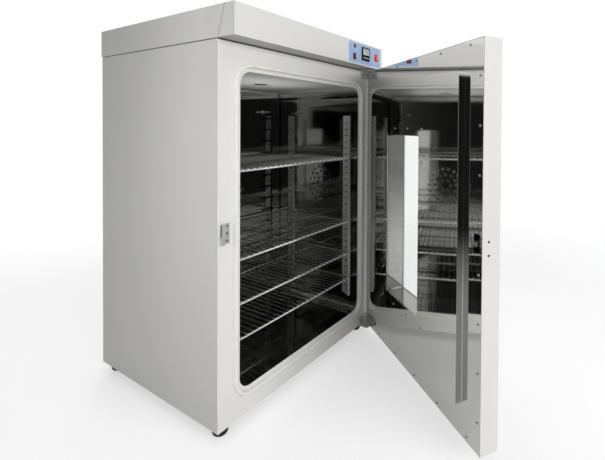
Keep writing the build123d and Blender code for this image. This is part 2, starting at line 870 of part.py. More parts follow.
# Shelf uprights: slotted channels on the side walls, with a sloping lower end
upright_slot_places = [
    upright_z + upright_end_margin + i * upright_slot_pitch for i in range(slot_count)
]
with BuildPart() as shelf_uprights:
    for place_y in upright_places_y:
        with BuildSketch(Plane.YZ.offset(upright_face_x)):
            with BuildLine():
                Polyline(
                    (place_y - upright_width / 2, upright_z),
                    (place_y - upright_width / 2, upright_z + upright_height),
                    (place_y + upright_width / 2, upright_z + upright_height),
                    (place_y + upright_width / 2, upright_z + upright_end_slope),
                    close=True,
                )
            make_face()
        extrude(amount=upright_depth)
        with BuildSketch(Plane.YZ.offset(upright_face_x + upright_sheet)):
            with Locations((place_y, upright_z + upright_height / 2)):
                Rectangle(upright_width - 2 * upright_sheet, upright_height)
        extrude(amount=upright_depth - upright_sheet, mode=Mode.SUBTRACT)
        with BuildSketch(Plane.YZ.offset(upright_face_x)):
            with Locations(*[(place_y, z) for z in upright_slot_places]):
                Rectangle(upright_slot_width, upright_slot_height)
        extrude(amount=upright_sheet, mode=Mode.SUBTRACT)
    mirror(about=Plane.YZ)
save(shelf_uprights, "shelf_uprights")

# Shelf clips: bent plates that hook into the slots and carry the shelves' side rods
clip_face_x = upright_face_x - clip_sheet
clip_tip_x = clip_face_x - clip_tongue_length
with BuildPart() as shelf_clips:
    for place_y in upright_places_y:
        for slot_z in [upright_slot_places[n] for n in shelf_slots]:
            tongue_z = slot_z + clip_rise
            with BuildSketch(facing_front(place_y - clip_width / 2)):
                with BuildLine():
                    Polyline(
                        (upright_face_x, tongue_z),
                        (clip_tip_x, tongue_z),
                        (clip_tip_x, tongue_z - clip_sheet),
                        (clip_face_x, tongue_z - clip_sheet),
                        (clip_face_x, slot_z - clip_drop),
                        (upright_face_x, slot_z - clip_drop),
                        close=True,
                    )
                make_face()
                with Locations((upright_face_x + clip_hook_depth / 2, slot_z)):
                    Rectangle(clip_hook_depth, clip_hook_height)
            extrude(amount=-clip_width)
    mirror(about=Plane.YZ)
save(shelf_clips, "shelf_clips")

# Wire shelves: a rod frame with rounded corners, a middle rod and thin wires across them
shelf_half = upright_face_x - shelf_side_clearance
shelf_front_y = front_y + shelf_front_setback
rod_flat = shelf_rod / 2 * cos(pi / rod_sides)
wire_flat = shelf_wire / 2 * cos(pi / wire_sides)
rim_half_x = shelf_half - shelf_rod / 2
rim_front_y = shelf_front_y + shelf_rod / 2
shelf_rear_y = duct_y - shelf_rear_gap
rim_rear_y = shelf_rear_y - shelf_rod / 2
wire_count = 2 * int((rim_half_x - shelf_corner_radius) / shelf_wire_pitch) + 1
for shelf_number, slot_number in enumerate(shelf_slots, 1):
    rod_z = upright_slot_places[slot_number] + clip_rise + rest_clearance + rod_flat
    wire_z = rod_z + rod_flat + wire_flat - shelf_weld_sink
    with BuildPart() as wire_shelf:
        with BuildLine(Plane.XY.offset(rod_z)) as rim:
            FilletPolyline(
                (-rim_half_x, rim_front_y),
                (rim_half_x, rim_front_y),
                (rim_half_x, rim_rear_y),
                (-rim_half_x, rim_rear_y),
                radius=shelf_corner_radius,
                close=True,
            )
        with BuildSketch(Plane(origin=rim.line @ 0, x_dir=(0, 0, 1), z_dir=rim.line % 0)):
            RegularPolygon(shelf_rod / 2, rod_sides, rotation=180 / rod_sides)
        sweep()
        with BuildSketch(Plane.YZ.offset(-rim_half_x)):
            with Locations(((rim_front_y + rim_rear_y) / 2, rod_z)):
                RegularPolygon(shelf_rod / 2, rod_sides, rotation=180 / rod_sides)
        extrude(amount=2 * rim_half_x)
        with BuildSketch(facing_front(shelf_front_y)):
            with Locations((0, wire_z)):
                with GridLocations(shelf_wire_pitch, 0, wire_count, 1):
                    RegularPolygon(shelf_wire / 2, wire_sides)
        extrude(amount=shelf_front_y - shelf_rear_y)
    save(wire_shelf, f"wire_shelf_{shelf_number}")

# Air duct panel: pan over the chamber's back, with outlet slots and a perforated intake
with BuildPart() as air_duct_panel:
    with BuildSketch(facing_front(liner_rear_y)):
        chamber_outline(-duct_gap)
    extrude(amount=duct_depth)
    offset(amount=-duct_sheet, openings=faces().sort_by(Axis.Y)[-1])
    with BuildSketch(facing_front(duct_y)):
        with Locations((0, chamber_middle_z)):
            with GridLocations(
                chamber_width - 2 * duct_slot_inset, duct_slot_pitch, 2, duct_slot_rows
            ):
                Rectangle(duct_slot_length, duct_slot_height)
            for ring in range(1, intake_ring_count + 1):
                with PolarLocations(ring * intake_ring_pitch, ring * intake_holes_per_ring):
                    RegularPolygon(intake_hole_diameter / 2, intake_hole_sides)
        with Locations((probe_offset, chamber_top_z - probe_drop)):
            Circle(probe_diameter / 2 + panel_clearance)
    extrude(amount=-duct_sheet, mode=Mode.SUBTRACT)
save(air_duct_panel, "air_duct_panel")

# Temperature probe: thin rod through the duct panel, with a collar against its face
with BuildPart() as temperature_probe:
    with BuildSketch(facing_front(duct_y - probe_reach)):
        with Locations((probe_offset, chamber_top_z - probe_drop)):
            Circle(probe_diameter / 2)
    extrude(amount=-probe_length)
    with BuildSketch(facing_front(duct_y)):
        with Locations((probe_offset, chamber_top_z - probe_drop)):
            Circle(probe_collar_diameter / 2)
    extrude(amount=probe_collar_height)
save(temperature_probe, "temperature_probe")

# Fan wheel: back disc, front ring, hub and swept blades, behind the duct panel's intake
wheel_rear_y = liner_rear_y - wheel_rear_gap
wheel_front_y = wheel_rear_y - wheel_depth
blade_ring_radius = wheel_diameter / 2 - wheel_blade_length / 2
with BuildPart() as fan_wheel:
    with BuildSketch(facing_front(wheel_rear_y)):
        with Locations((0, chamber_middle_z)):
            Circle(wheel_diameter / 2)
    extrude(amount=wheel_sheet)
    with BuildSketch(facing_front(wheel_front_y + wheel_sheet)):
        with Locations((0, chamber_middle_z)):
            Circle(wheel_diameter / 2)
            Circle(wheel_diameter / 2 - wheel_blade_length, mode=Mode.SUBTRACT)
    extrude(amount=wheel_sheet)
    with BuildSketch(facing_front(wheel_rear_y)):
        with Locations((0, chamber_middle_z)):
            with PolarLocations(blade_ring_radius, wheel_blades):
                Rectangle(wheel_blade_length, wheel_sheet, rotation=wheel_blade_angle)
            Circle(wheel_hub_diameter / 2)
    extrude(amount=wheel_depth - wheel_sheet)
    with BuildSketch(facing_front(wheel_rear_y)):
        with Locations((0, chamber_middle_z)):
            Circle(shaft_diameter / 2)
    extrude(amount=wheel_depth, mode=Mode.SUBTRACT)
save(fan_wheel, "fan_wheel")

# Motor shaft, motor mount and motor, behind the insulation
motor_plate_y = insulation_rear_y + motor_plate_gap
motor_y = motor_plate_y + motor_plate_sheet
with BuildPart() as motor_shaft:
    with BuildSketch(facing_front(wheel_front_y)):
        with Locations((0, chamber_middle_z)):
            Circle(shaft_diameter / 2)
    extrude(amount=-(motor_y + shaft_bearing_length - wheel_front_y))
save(motor_shaft, "motor_shaft")

with BuildPart() as motor_mount:
    with BuildSketch(facing_front(motor_plate_y)):
        with Locations((0, chamber_middle_z)):
            Rectangle(motor_plate_size, motor_plate_size)
            Circle(shaft_diameter / 2 + shaft_clearance, mode=Mode.SUBTRACT)
    extrude(amount=-motor_plate_sheet)
    with BuildSketch(facing_front(motor_plate_y)):
        with Locations((0, chamber_middle_z)):
            with GridLocations(motor_post_pitch, motor_post_pitch, 2, 2):
                Circle(motor_post_diameter / 2)
    extrude(amount=rear_insulation + motor_plate_gap)
save(motor_mount, "motor_mount")

with BuildPart() as fan_motor:
    with BuildSketch(facing_front(motor_y)):
        with Locations((0, chamber_middle_z)):
            Circle(motor_diameter / 2)
    extrude(amount=-motor_length)
    chamfer(faces().sort_by(Axis.Y)[-1].edges(), motor_edge)
    with BuildSketch(facing_front(motor_y)):
        with Locations((0, chamber_middle_z)):
            Circle(shaft_diameter / 2 + shaft_fit)
    extrude(amount=-(shaft_bearing_length + rest_clearance), mode=Mode.SUBTRACT)
save(fan_motor, "fan_motor")

# Tubular heater: an open ring around the fan wheel, bent back into two legs at its ends
heater_y = wheel_rear_y - wheel_depth / 2
heater_leg = insulation_rear_y + heater_terminal_reach - heater_y
ring_plane = Plane(
    origin=(0, heater_y, chamber_middle_z), x_dir=(1, 0, 0), z_dir=(0, -1, 0)
)
with BuildPart() as tubular_heater:
    with BuildLine() as heater_line:
        with BuildLine(ring_plane):
            ring = CenterArc(
                (0, 0), heater_ring_radius, heater_end_angles[1], 360 - heater_gap_angle
            )
        for end, ahead in ((ring @ 0, -(ring % 0)), (ring @ 1, ring % 1)):
            corner = end + ahead * heater_bend_radius
            bend_end = corner + Vector(0, heater_bend_radius, 0)
            TangentArc(end, bend_end, tangent=ahead)
            Line(bend_end, corner + Vector(0, heater_leg, 0))
    heater_path = heater_line.wire()
    with BuildSketch(Plane(origin=heater_path @ 0, z_dir=heater_path % 0)):
        RegularPolygon(heater_tube_diameter / 2, heater_tube_sides)
    sweep(path=heater_path)
save(tubular_heater, "tubular_heater")

# Door places, written for the closed door and then swung open about the hinge pins
pivot_x = half_width - pivot_from_side
pivot_y = front_y - pivot_from_front
free_edge_x = -half_width
door_inner_y = front_y - door_gap
door_outer_y = door_inner_y - door_thickness
door_bottom_z = base_z + door_bottom_gap
door_top_z = deck_z - door_top_gap
door_height = door_top_z - door_bottom_z
door_middle_z = (door_bottom_z + door_top_z) / 2
door_cos = cos(radians(door_angle))
door_sin = sin(radians(door_angle))
door_outward = Axis((0, 0, 0), (door_sin, -door_cos, 0))


def opened(x, y, z):
    """Where a point of the closed door stands when the door is open."""
    reach_x = x - pivot_x
    reach_y = y - pivot_y
    return (
        pivot_x + door_cos * reach_x - door_sin * reach_y,
        pivot_y + door_sin * reach_x + door_cos * reach_y,
        z,
    )


def on_door(y):
    """A plane along the open door that faces outward, at a closed door's depth y."""
    return Plane(
        origin=opened(0, y, 0), x_dir=(door_cos, door_sin, 0), z_dir=(door_sin, -door_cos, 0)
    )


def across_door(z):
    """A level plane turned with the open door: its own x and y are the closed door's."""
    return Plane(origin=opened(0, 0, z), x_dir=(door_cos, door_sin, 0), z_dir=(0, 0, 1))


window_place = (
    half_width - window_from_hinge_edge - window_width / 2,
    base_z + window_bottom + window_height / 2,
)
latch_z = base_z + latch_height
spindle_place = (free_edge_x + handle_from_edge, latch_z)
latch_slot_place = (free_edge_x + latch_slot_inset + latch_slot_width / 2, latch_z)
hinge_place = (pivot_x, pivot_y)


def window_outline(growth, mode=Mode.ADD):
    """The window's outline, grown outward by the amount given."""
    with Locations(window_place):
        RectangleRounded(
            window_width + 2 * growth,
            window_height + 2 * growth,
            window_corner_radius + growth,
            mode=mode,
        )


def latch_slot():
    """The slot that the latch tongue's finger comes out of."""
    with Locations(latch_slot_place):
        RectangleRounded(latch_slot_width, latch_slot_height, latch_slot_radius)


# Door shell: painted pan with an inward lip that carries the inner panel
with BuildPart() as door_shell:
    with BuildSketch(on_door(door_inner_y)):
        with Locations((0, door_middle_z)):
            Rectangle(cabinet_width, door_height)
    extrude(amount=door_thickness)
    fillet(faces().sort_by(door_outward)[-1].edges(), door_edge_radius)
    offset(amount=-door_sheet, openings=faces().sort_by(door_outward)[0])
    with BuildSketch(on_door(door_inner_y - door_sheet)):
        with Locations((0, door_middle_z)):
            Rectangle(cabinet_width - door_sheet, door_height - door_sheet)
            Rectangle(
                cabinet_width - 2 * (door_sheet + door_lip),
                door_height - 2 * (door_sheet + door_lip),
                mode=Mode.SUBTRACT,
            )
    extrude(amount=door_sheet)
    with BuildSketch(on_door(door_inner_y - door_sheet)):
        latch_slot()
    extrude(amount=door_sheet, mode=Mode.SUBTRACT)
    with BuildSketch(on_door(door_outer_y)):
        window_outline(0)
        with Locations(spindle_place):
            Circle(spindle_diameter / 2 + spindle_hole_clearance)
    extrude(amount=-door_sheet, mode=Mode.SUBTRACT)
    with BuildSketch(across_door(door_bottom_z)):
        with Locations(hinge_place):
            Circle(hinge_bush_diameter / 2)
    extrude(amount=door_height, mode=Mode.SUBTRACT)
save(door_shell, "door_shell")

# Inner panel: one polished pressing with a raised plug that faces the chamber's mouth
plug_width = chamber_width - 2 * plug_clearance
plug_length = chamber_height - 2 * plug_clearance


def plug_outline(inset):
    """The raised plug's outline, drawn in by the amount given."""
    with Locations((0, chamber_middle_z)):
        RectangleRounded(
            plug_width - 2 * inset, plug_length - 2 * inset, plug_corner_radius - inset
        )


with BuildPart() as door_inner_panel:
    with BuildSketch(on_door(door_inner_y)):
        with Locations((0, door_middle_z)):
            Rectangle(
                cabinet_width - 2 * inner_panel_inset, door_height - 2 * inner_panel_inset
            )
    extrude(amount=door_sheet)
    with BuildSketch(on_door(door_inner_y - door_sheet)):
        plug_outline(0)
    extrude(amount=-(plug_proud + door_sheet))
    fillet(faces().sort_by(door_outward)[0].edges(), plug_edge_radius)
    with BuildSketch(on_door(door_inner_y - door_sheet)):
        plug_outline(door_sheet)
    extrude(amount=-plug_proud, mode=Mode.SUBTRACT)
    with BuildSketch(on_door(door_inner_y + plug_proud)):
        window_outline(0)
    extrude(amount=door_sheet, mode=Mode.SUBTRACT)
    with BuildSketch(on_door(door_inner_y)):
        latch_slot()
    extrude(amount=door_sheet, mode=Mode.SUBTRACT)
save(door_inner_panel, "door_inner_panel")

# Window: two panes, the polished tunnel between them and the outer pane's seal
inner_glass_y = door_inner_y + plug_proud - door_sheet
tunnel_inner_y = inner_glass_y - glass_thickness
outer_glass_y = door_outer_y + door_sheet + outer_seal_thickness
tunnel_outer_y = outer_glass_y + glass_thickness
with BuildPart() as inner_glass:
    with BuildSketch(on_door(inner_glass_y)):
        window_outline(glass_lap)
    extrude(amount=glass_thickness)
save(inner_glass, "inner_glass")

with BuildPart() as outer_glass:
    with BuildSketch(on_door(tunnel_outer_y)):
        window_outline(glass_lap)
    extrude(amount=glass_thickness)
save(outer_glass, "outer_glass")

with BuildPart() as outer_glass_seal:
    with BuildSketch(on_door(outer_glass_y)):
        window_outline(glass_lap)
        window_outline(0, Mode.SUBTRACT)
    extrude(amount=outer_seal_thickness)
save(outer_glass_seal, "outer_glass_seal")

with BuildPart() as window_tunnel:
    with BuildSketch(on_door(tunnel_inner_y)):
        window_outline(tunnel_sheet)
    extrude(amount=tunnel_inner_y - tunnel_outer_y)
    with BuildSketch(on_door(tunnel_inner_y)):
        window_outline(tunnel_flange)
    extrude(amount=tunnel_sheet)
    with BuildSketch(on_door(tunnel_outer_y)):
        window_outline(tunnel_flange)
    extrude(amount=-tunnel_sheet)
    with BuildSketch(on_door(tunnel_inner_y)):
        window_outline(0)
    extrude(amount=tunnel_inner_y - tunnel_outer_y, mode=Mode.SUBTRACT)
save(window_tunnel, "window_tunnel")

# Latch case: open-faced box behind the latch slot
case_front_y = door_inner_y - 2 * door_sheet
case_back_y = case_front_y - latch_case_depth
case_left_x = free_edge_x + latch_case_inset
case_place = (case_left_x + latch_case_width / 2, latch_z)
with BuildPart() as latch_case:
    with BuildSketch(on_door(case_front_y)):
        with Locations(case_place):
            Rectangle(latch_case_width, latch_case_height)
    extrude(amount=latch_case_depth)
    offset(amount=-latch_case_sheet, openings=faces().sort_by(door_outward)[0])
    with BuildSketch(on_door(case_back_y)):
        with Locations(spindle_place):
            Circle(spindle_diameter / 2 + spindle_fit)
    extrude(amount=-latch_case_sheet, mode=Mode.SUBTRACT)
save(latch_case, "latch_case")

# Door insulation: fills the door around the window, the latch case and the hinge bushes
fill = door_fill_clearance
wool_inner_y = case_front_y - fill
wool_plug_y = inner_glass_y - fill
with BuildPart() as door_insulation:
    with BuildSketch(on_door(wool_inner_y)):
        with Locations((0, door_middle_z)):
            Rectangle(
                cabinet_width - 2 * (door_sheet + fill), door_height - 2 * (door_sheet + fill)
            )
    extrude(amount=wool_inner_y - door_outer_y - door_sheet)
    with BuildSketch(on_door(wool_plug_y)):
        plug_outline(door_sheet + fill)
    extrude(amount=wool_plug_y - wool_inner_y + fill)
    with BuildSketch(on_door(inner_glass_y)):
        window_outline(glass_lap + fill)
    extrude(amount=inner_glass_y - door_outer_y, mode=Mode.SUBTRACT)
    with BuildSketch(on_door(case_front_y + fill)):
        with Locations(case_place):
            Rectangle(latch_case_width + 2 * fill, latch_case_height + 2 * fill)
    extrude(amount=latch_case_depth + 2 * fill, mode=Mode.SUBTRACT)
    with BuildSketch(on_door(wool_inner_y)):
        with Locations(spindle_place):
            Circle(spindle_diameter / 2 + spindle_hole_clearance)
    extrude(amount=door_thickness, mode=Mode.SUBTRACT)
    for end_z, inward in ((door_bottom_z, 1), (door_top_z, -1)):
        with BuildSketch(across_door(end_z)):
            with Locations(hinge_place):
                Circle(hinge_bush_flange_diameter / 2 + fill)
        extrude(amount=inward * (hinge_bush_length + fill), mode=Mode.SUBTRACT)
save(door_insulation, "door_insulation")

# Hinge: two leaves on the cabinet, their pins, and flanged bushes in the door
for bracket_name, end_z, outward in (("bottom", door_bottom_z, -1), ("top", door_top_z, 1)):
    leaf_z = end_z + outward * hinge_leaf_clearance
    plate_z = leaf_z + outward * (hinge_leaf_thickness - hinge_plate_height / 2)
    with BuildPart() as hinge_bracket:
        with BuildSketch(facing_front(front_y)):
            with Locations((half_width - hinge_leaf_width / 2, plate_z)):
                Rectangle(hinge_leaf_width, hinge_plate_height)
                with GridLocations(hinge_hole_pitch, 0, 2, 1):
                    Circle(hinge_hole_diameter / 2, mode=Mode.SUBTRACT)
        extrude(amount=hinge_leaf_thickness)
        with BuildSketch(Plane.XY.offset(leaf_z)):
            leaf_tip_y = pivot_y - hinge_leaf_margin
            with Locations((half_width - hinge_leaf_width / 2, (front_y + leaf_tip_y) / 2)):
                Rectangle(hinge_leaf_width, front_y - leaf_tip_y)
            fillet(vertices().group_by(Axis.Y)[0], hinge_leaf_radius)
            with Locations(hinge_place):
                Circle(hinge_pin_diameter / 2, mode=Mode.SUBTRACT)
        extrude(amount=outward * hinge_leaf_thickness)
    save(hinge_bracket, f"hinge_bracket_{bracket_name}")

pin_head_z = door_bottom_z - hinge_leaf_clearance - hinge_leaf_thickness
with BuildPart() as hinge_pins:
    with BuildSketch(Plane.XY.offset(pin_head_z)):
        with Locations(hinge_place):
            Circle(hinge_pin_diameter / 2)
    extrude(amount=hinge_leaf_thickness + hinge_pin_reach)
    with BuildSketch(Plane.XY.offset(pin_head_z)):
        with Locations(hinge_place):
            Circle(hinge_pin_head_diameter / 2)
    extrude(amount=-hinge_pin_head_height)
    mirror(about=Plane.XY.offset(door_middle_z))
save(hinge_pins, "hinge_pins")

with BuildPart() as hinge_bushes:
    with BuildSketch(Plane.XY.offset(door_bottom_z)):
        with Locations(hinge_place):
            Circle(hinge_bush_diameter / 2)
    extrude(amount=hinge_bush_length)
    with BuildSketch(Plane.XY.offset(door_bottom_z + door_sheet)):
        with Locations(hinge_place):
            Circle(hinge_bush_flange_diameter / 2)
    extrude(amount=hinge_bush_flange_sheet)
    with BuildSketch(Plane.XY.offset(door_bottom_z)):
        with Locations(hinge_place):
            Circle(hinge_pin_diameter / 2 + hinge_pin_fit)
    extrude(amount=hinge_bush_length, mode=Mode.SUBTRACT)
    mirror(about=Plane.XY.offset(door_middle_z))
save(hinge_bushes, "hinge_bushes")

# Strike plate: a hollow ridge beside a screwed base, with a window for the latch nose
ridge_left_x = free_edge_x + strike_outer
ridge_right_x = ridge_left_x + strike_ridge_width
ridge_roof = strike_ridge_height - strike_sheet
with BuildPart() as strike_plate:
    with BuildSketch(Plane.XY.offset(latch_z - strike_height / 2)):
        with Locations(((ridge_left_x + ridge_right_x) / 2, front_y - strike_ridge_height / 2)):
            Rectangle(strike_ridge_width, strike_ridge_height)
        fillet(vertices().group_by(Axis.Y)[0], strike_ridge_radius)
        with Locations(((ridge_left_x + ridge_right_x) / 2, front_y - ridge_roof / 2)):
            Rectangle(strike_ridge_width - 2 * strike_sheet, ridge_roof, mode=Mode.SUBTRACT)
        with Locations((ridge_right_x + strike_base_width / 2, front_y - strike_sheet / 2)):
            Rectangle(strike_base_width, strike_sheet)
    extrude(amount=strike_height)
    with BuildSketch(Plane.YZ.offset(ridge_right_x)):
        with Locations((front_y - (ridge_roof + strike_sheet) / 2, latch_z)):
            Rectangle(ridge_roof - strike_sheet, strike_window_height)
    extrude(amount=-strike_sheet, mode=Mode.SUBTRACT)
    with BuildSketch(facing_front(front_y - strike_sheet)):
        with Locations((ridge_right_x + strike_base_width - strike_hole_inset, latch_z)):
            with GridLocations(0, strike_hole_pitch, 1, 3):
                Circle(strike_hole_diameter / 2)
    extrude(amount=-strike_sheet, mode=Mode.SUBTRACT)
save(strike_plate, "strike_plate")

# Latch tongue: sliding bar in the case, with a finger whose nose hooks behind the ridge
arm_outer_y = case_back_y + latch_case_sheet + moving_clearance
arm_inner_y = arm_outer_y + cam_arm_thickness
bar_outer_y = arm_inner_y + moving_clearance
bar_inner_y = bar_outer_y + latch_bar_depth
nose_outer_y = front_y - ridge_roof + latch_hook_clearance
nose_inner_y = nose_outer_y + latch_nose_depth
nose_tip_x = ridge_right_x - latch_bite
finger_left_x = ridge_right_x + latch_finger_clearance
finger_right_x = finger_left_x + latch_finger_width
bar_end_gap = latch_travel + latch_bar_end_clearance
bar_right_x = case_left_x + latch_case_width - latch_case_sheet - bar_end_gap
bar_height = latch_case_height - 2 * (latch_case_sheet + moving_clearance)
cam_pin_place = (spindle_place[0], latch_z + cam_radius)
with BuildPart() as latch_tongue:
    with BuildSketch(on_door(bar_outer_y)):
        with Locations(((finger_left_x + bar_right_x) / 2, latch_z)):
            Rectangle(bar_right_x - finger_left_x, bar_height)
        with Locations(cam_pin_place):
            Rectangle(
                cam_pin_diameter + 2 * cam_slot_play, cam_slot_height, mode=Mode.SUBTRACT
            )
    extrude(amount=-latch_bar_depth)
    with BuildSketch(on_door(bar_inner_y)):
        with Locations(((finger_left_x + finger_right_x) / 2, latch_z)):
            Rectangle(latch_finger_width, latch_finger_height)
    extrude(amount=-(nose_inner_y - bar_inner_y))
    with BuildSketch(on_door(nose_outer_y)):
        with Locations(((nose_tip_x + finger_right_x) / 2, latch_z)):
            Rectangle(finger_right_x - nose_tip_x, latch_finger_height)
    extrude(amount=-latch_nose_depth)
save(latch_tongue, "latch_tongue")

# Handle: a rose on the door, the lever with its hub, and the spindle with its cam arm
with BuildPart() as handle_rose:
    with BuildSketch(on_door(door_outer_y)):
        with Locations(spindle_place):
            Circle(handle_rose_diameter / 2)
    extrude(amount=handle_rose_height)
    chamfer(faces().sort_by(door_outward)[-1].edges(), handle_rose_edge)
    with BuildSketch(on_door(door_outer_y)):
        with Locations(spindle_place):
            Circle(spindle_diameter / 2 + spindle_fit)
    extrude(amount=handle_rose_height, mode=Mode.SUBTRACT)
save(handle_rose, "handle_rose")

hub_y = door_outer_y - handle_rose_height - rest_clearance
lever_y = door_outer_y - handle_standoff
lever_length = handle_length + handle_width / 2
with BuildPart() as door_handle:
    with BuildSketch(on_door(lever_y)):
        with Locations((spindle_place[0], latch_z + handle_width / 2 - lever_length / 2)):
            RectangleRounded(handle_width, lever_length, handle_corner_radius)
    extrude(amount=handle_thickness)
    fillet(faces().sort_by(door_outward)[-1].edges(), handle_edge_radius)
    with BuildSketch(on_door(hub_y)):
        with Locations(spindle_place):
            Circle(handle_hub_diameter / 2)
    extrude(amount=hub_y - lever_y)
    with BuildSketch(on_door(hub_y)):
        with Locations(spindle_place):
            Circle(spindle_diameter / 2)
    extrude(amount=hub_y - lever_y, mode=Mode.SUBTRACT)
save(door_handle, "door_handle")

with BuildPart() as handle_spindle:
    with BuildSketch(on_door(arm_inner_y)):
        with Locations(spindle_place):
            Circle(spindle_diameter / 2)
    extrude(amount=arm_inner_y - lever_y)
    with BuildSketch(on_door(arm_inner_y)):
        with Locations((spindle_place[0], latch_z + cam_radius / 2)):
            SlotCenterToCenter(cam_radius, cam_arm_width, rotation=90)
    extrude(amount=cam_arm_thickness)
    with BuildSketch(on_door(arm_inner_y)):
        with Locations(cam_pin_place):
            Circle(cam_pin_diameter / 2)
    extrude(amount=-(latch_bar_depth + 2 * moving_clearance))
save(handle_spindle, "handle_spindle")
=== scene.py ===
import math

import bpy
from mathutils import Matrix, Vector
from mathutils.geometry import delaunay_2d_cdt


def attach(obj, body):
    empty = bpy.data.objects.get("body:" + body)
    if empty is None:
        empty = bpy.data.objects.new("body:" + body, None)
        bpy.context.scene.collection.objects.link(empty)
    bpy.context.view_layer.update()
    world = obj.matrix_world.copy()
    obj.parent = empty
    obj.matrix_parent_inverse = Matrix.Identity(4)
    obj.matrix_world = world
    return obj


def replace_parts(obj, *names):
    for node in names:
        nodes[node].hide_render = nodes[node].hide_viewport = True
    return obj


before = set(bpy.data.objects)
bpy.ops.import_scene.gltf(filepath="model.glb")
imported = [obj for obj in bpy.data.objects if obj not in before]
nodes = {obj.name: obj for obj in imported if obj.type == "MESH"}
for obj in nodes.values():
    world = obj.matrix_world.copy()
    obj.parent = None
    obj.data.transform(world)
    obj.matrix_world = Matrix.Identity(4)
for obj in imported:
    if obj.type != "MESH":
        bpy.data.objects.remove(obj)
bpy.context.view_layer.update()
scene = bpy.context.scene
mm = 0.001

# Places that repeat the model's own, in metres. The door is drawn open, turned about its pivot
door_turn = math.radians(55)
pivot = Vector((0.340, -0.3225, 0))
door_x = Vector((math.cos(door_turn), math.sin(door_turn), 0))
door_out = Vector((math.sin(door_turn), -math.cos(door_turn), 0))
front_y, rear_y = -0.2925, 0.2925
door_inner_y = front_y - 0.011
door_outer_y = door_inner_y - 0.054
plug_y = door_inner_y + 0.018
plug_reach = 0.617
duct_y = 0.1207
label_y, display_y, key_y, rocker_y = -0.355, -0.3597, -0.3608, -0.357988
chamber_middle = 0.528
chamber_top = chamber_middle + 0.428
rim_x, rim_front, rim_rear, rim_round = 0.2725, -0.2625, 0.0975, 0.014
rod_levels = {1: 0.21957, 2: 0.31757, 3: 0.44007, 4: 0.68507}
latch_z = 0.534
strike_x, strike_y = -0.3236, -0.294
door_edge_x, rose_x, rose_height = -0.350, -0.275, 0.008
hinge_face_y = -0.2955
hood_z, hood_height, hood_side, hood_rear_y = 1.030, 0.082, 0.3515, 0.295
seam_lean = 0.026
vent_y, rosette_top = -0.0625, 1.116
panel_z = 1.071
foot_x, foot_y = 0.317, 0.2595
gland_place = (0.260, rear_y, 0.118)


def on_door(x, y, z):
    """The open door's place for a point given on the closed door."""
    return pivot + door_x * (x - pivot.x) - door_out * (y - pivot.y) + Vector((0, 0, z))


# Mesh building
def lay(point, normal, spin=0.0):
    """A frame at a point, with its Z along the normal."""
    turn = Vector(normal).to_track_quat("Z", "Y").to_matrix().to_4x4()
    return Matrix.Translation(point) @ turn @ Matrix.Rotation(spin, 4, "Z")


def piece(name, shape, body, look):
    """A mesh object made of (vertices, faces) that rides on a body."""
    mesh = bpy.data.meshes.new(name)
    mesh.from_pydata([tuple(v) for v in shape[0]], [], shape[1])
    mesh.validate()
    mesh.shade_smooth()
    mesh.set_sharp_from_angle(angle=math.radians(32))
    mesh.materials.append(look)
    made = bpy.data.objects.new(name, mesh)
    scene.collection.objects.link(made)
    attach(made, body)
    return made


def joined(shapes):
    """Several (vertices, faces) as one."""
    verts, faces = [], []
    for part_verts, part_faces in shapes:
        base = len(verts)
        verts += part_verts
        faces += [[base + i for i in face] for face in part_faces]
    return verts, faces


def placed(shape, matrix):
    return [matrix @ Vector(v) for v in shape[0]], shape[1]


def repeated(shape, matrices):
    return joined([placed(shape, m) for m in matrices])


def lathe(profile, sides=48):
    """A turned solid from (radius, height) points; a radius of 0 closes to a point."""
    verts, rings, faces = [], [], []
    for radius, height in profile:
        if radius < 1e-7:
            rings.append([len(verts)])
            verts.append(Vector((0, 0, height)))
            continue
        rings.append(list(range(len(verts), len(verts) + sides)))
        for i in range(sides):
            a = 2 * math.pi * i / sides
            verts.append(Vector((radius * math.cos(a), radius * math.sin(a), height)))
    for low, high in zip(rings, rings[1:]):
        for i in range(sides):
            j = (i + 1) % sides
            if len(low) == 1 and len(high) > 1:
                faces.append([low[0], high[j], high[i]])
            elif len(high) == 1 and len(low) > 1:
                faces.append([low[i], low[j], high[0]])
            elif len(low) > 1:
                faces.append([low[i], low[j], high[j], high[i]])
    return verts, faces


def tube(points, radius, sides, closed=False):
    """A round tube through points, with domed ends where it is open."""
    points = [Vector(p) for p in points]
    count = len(points)
    verts, faces = [], []
    side = None
    stations = []
    for i, p in enumerate(points):
        if closed:
            ahead = (points[(i + 1) % count] - points[i - 1]).normalized()
        else:
            ahead = (points[min(i + 1, count - 1)] - points[max(i - 1, 0)]).normalized()
        if side is None:
            side = ahead.orthogonal().normalized()
        side = (side - ahead * side.dot(ahead)).normalized()
        stations.append((p, ahead, side, radius))
    if not closed:
        first, last = stations[0], stations[-1]
        dome = [(0.6, 0.48), (0.92, 0.24)]
        head = [(first[0] - first[1] * radius * d, first[1], first[2], radius * r)
                for r, d in dome]
        tail = [(last[0] + last[1] * radius * d, last[1], last[2], radius * r)
                for r, d in reversed(dome)]
        stations = head + stations + tail
    for p, ahead, side, r in stations:
        over = ahead.cross(side)
        for k in range(sides):
            a = 2 * math.pi * k / sides
            verts.append(p + side * (r * math.cos(a)) + over * (r * math.sin(a)))
    total = len(stations)
    for i in range(total if closed else total - 1):
        j = (i + 1) % total
        for k in range(sides):
            n = (k + 1) % sides
            faces.append([i * sides + k, i * sides + n, j * sides + n, j * sides + k])
    if not closed:
        faces.append(list(reversed(range(sides))))
        faces.append(list(range((total - 1) * sides, total * sides)))
    return verts, faces


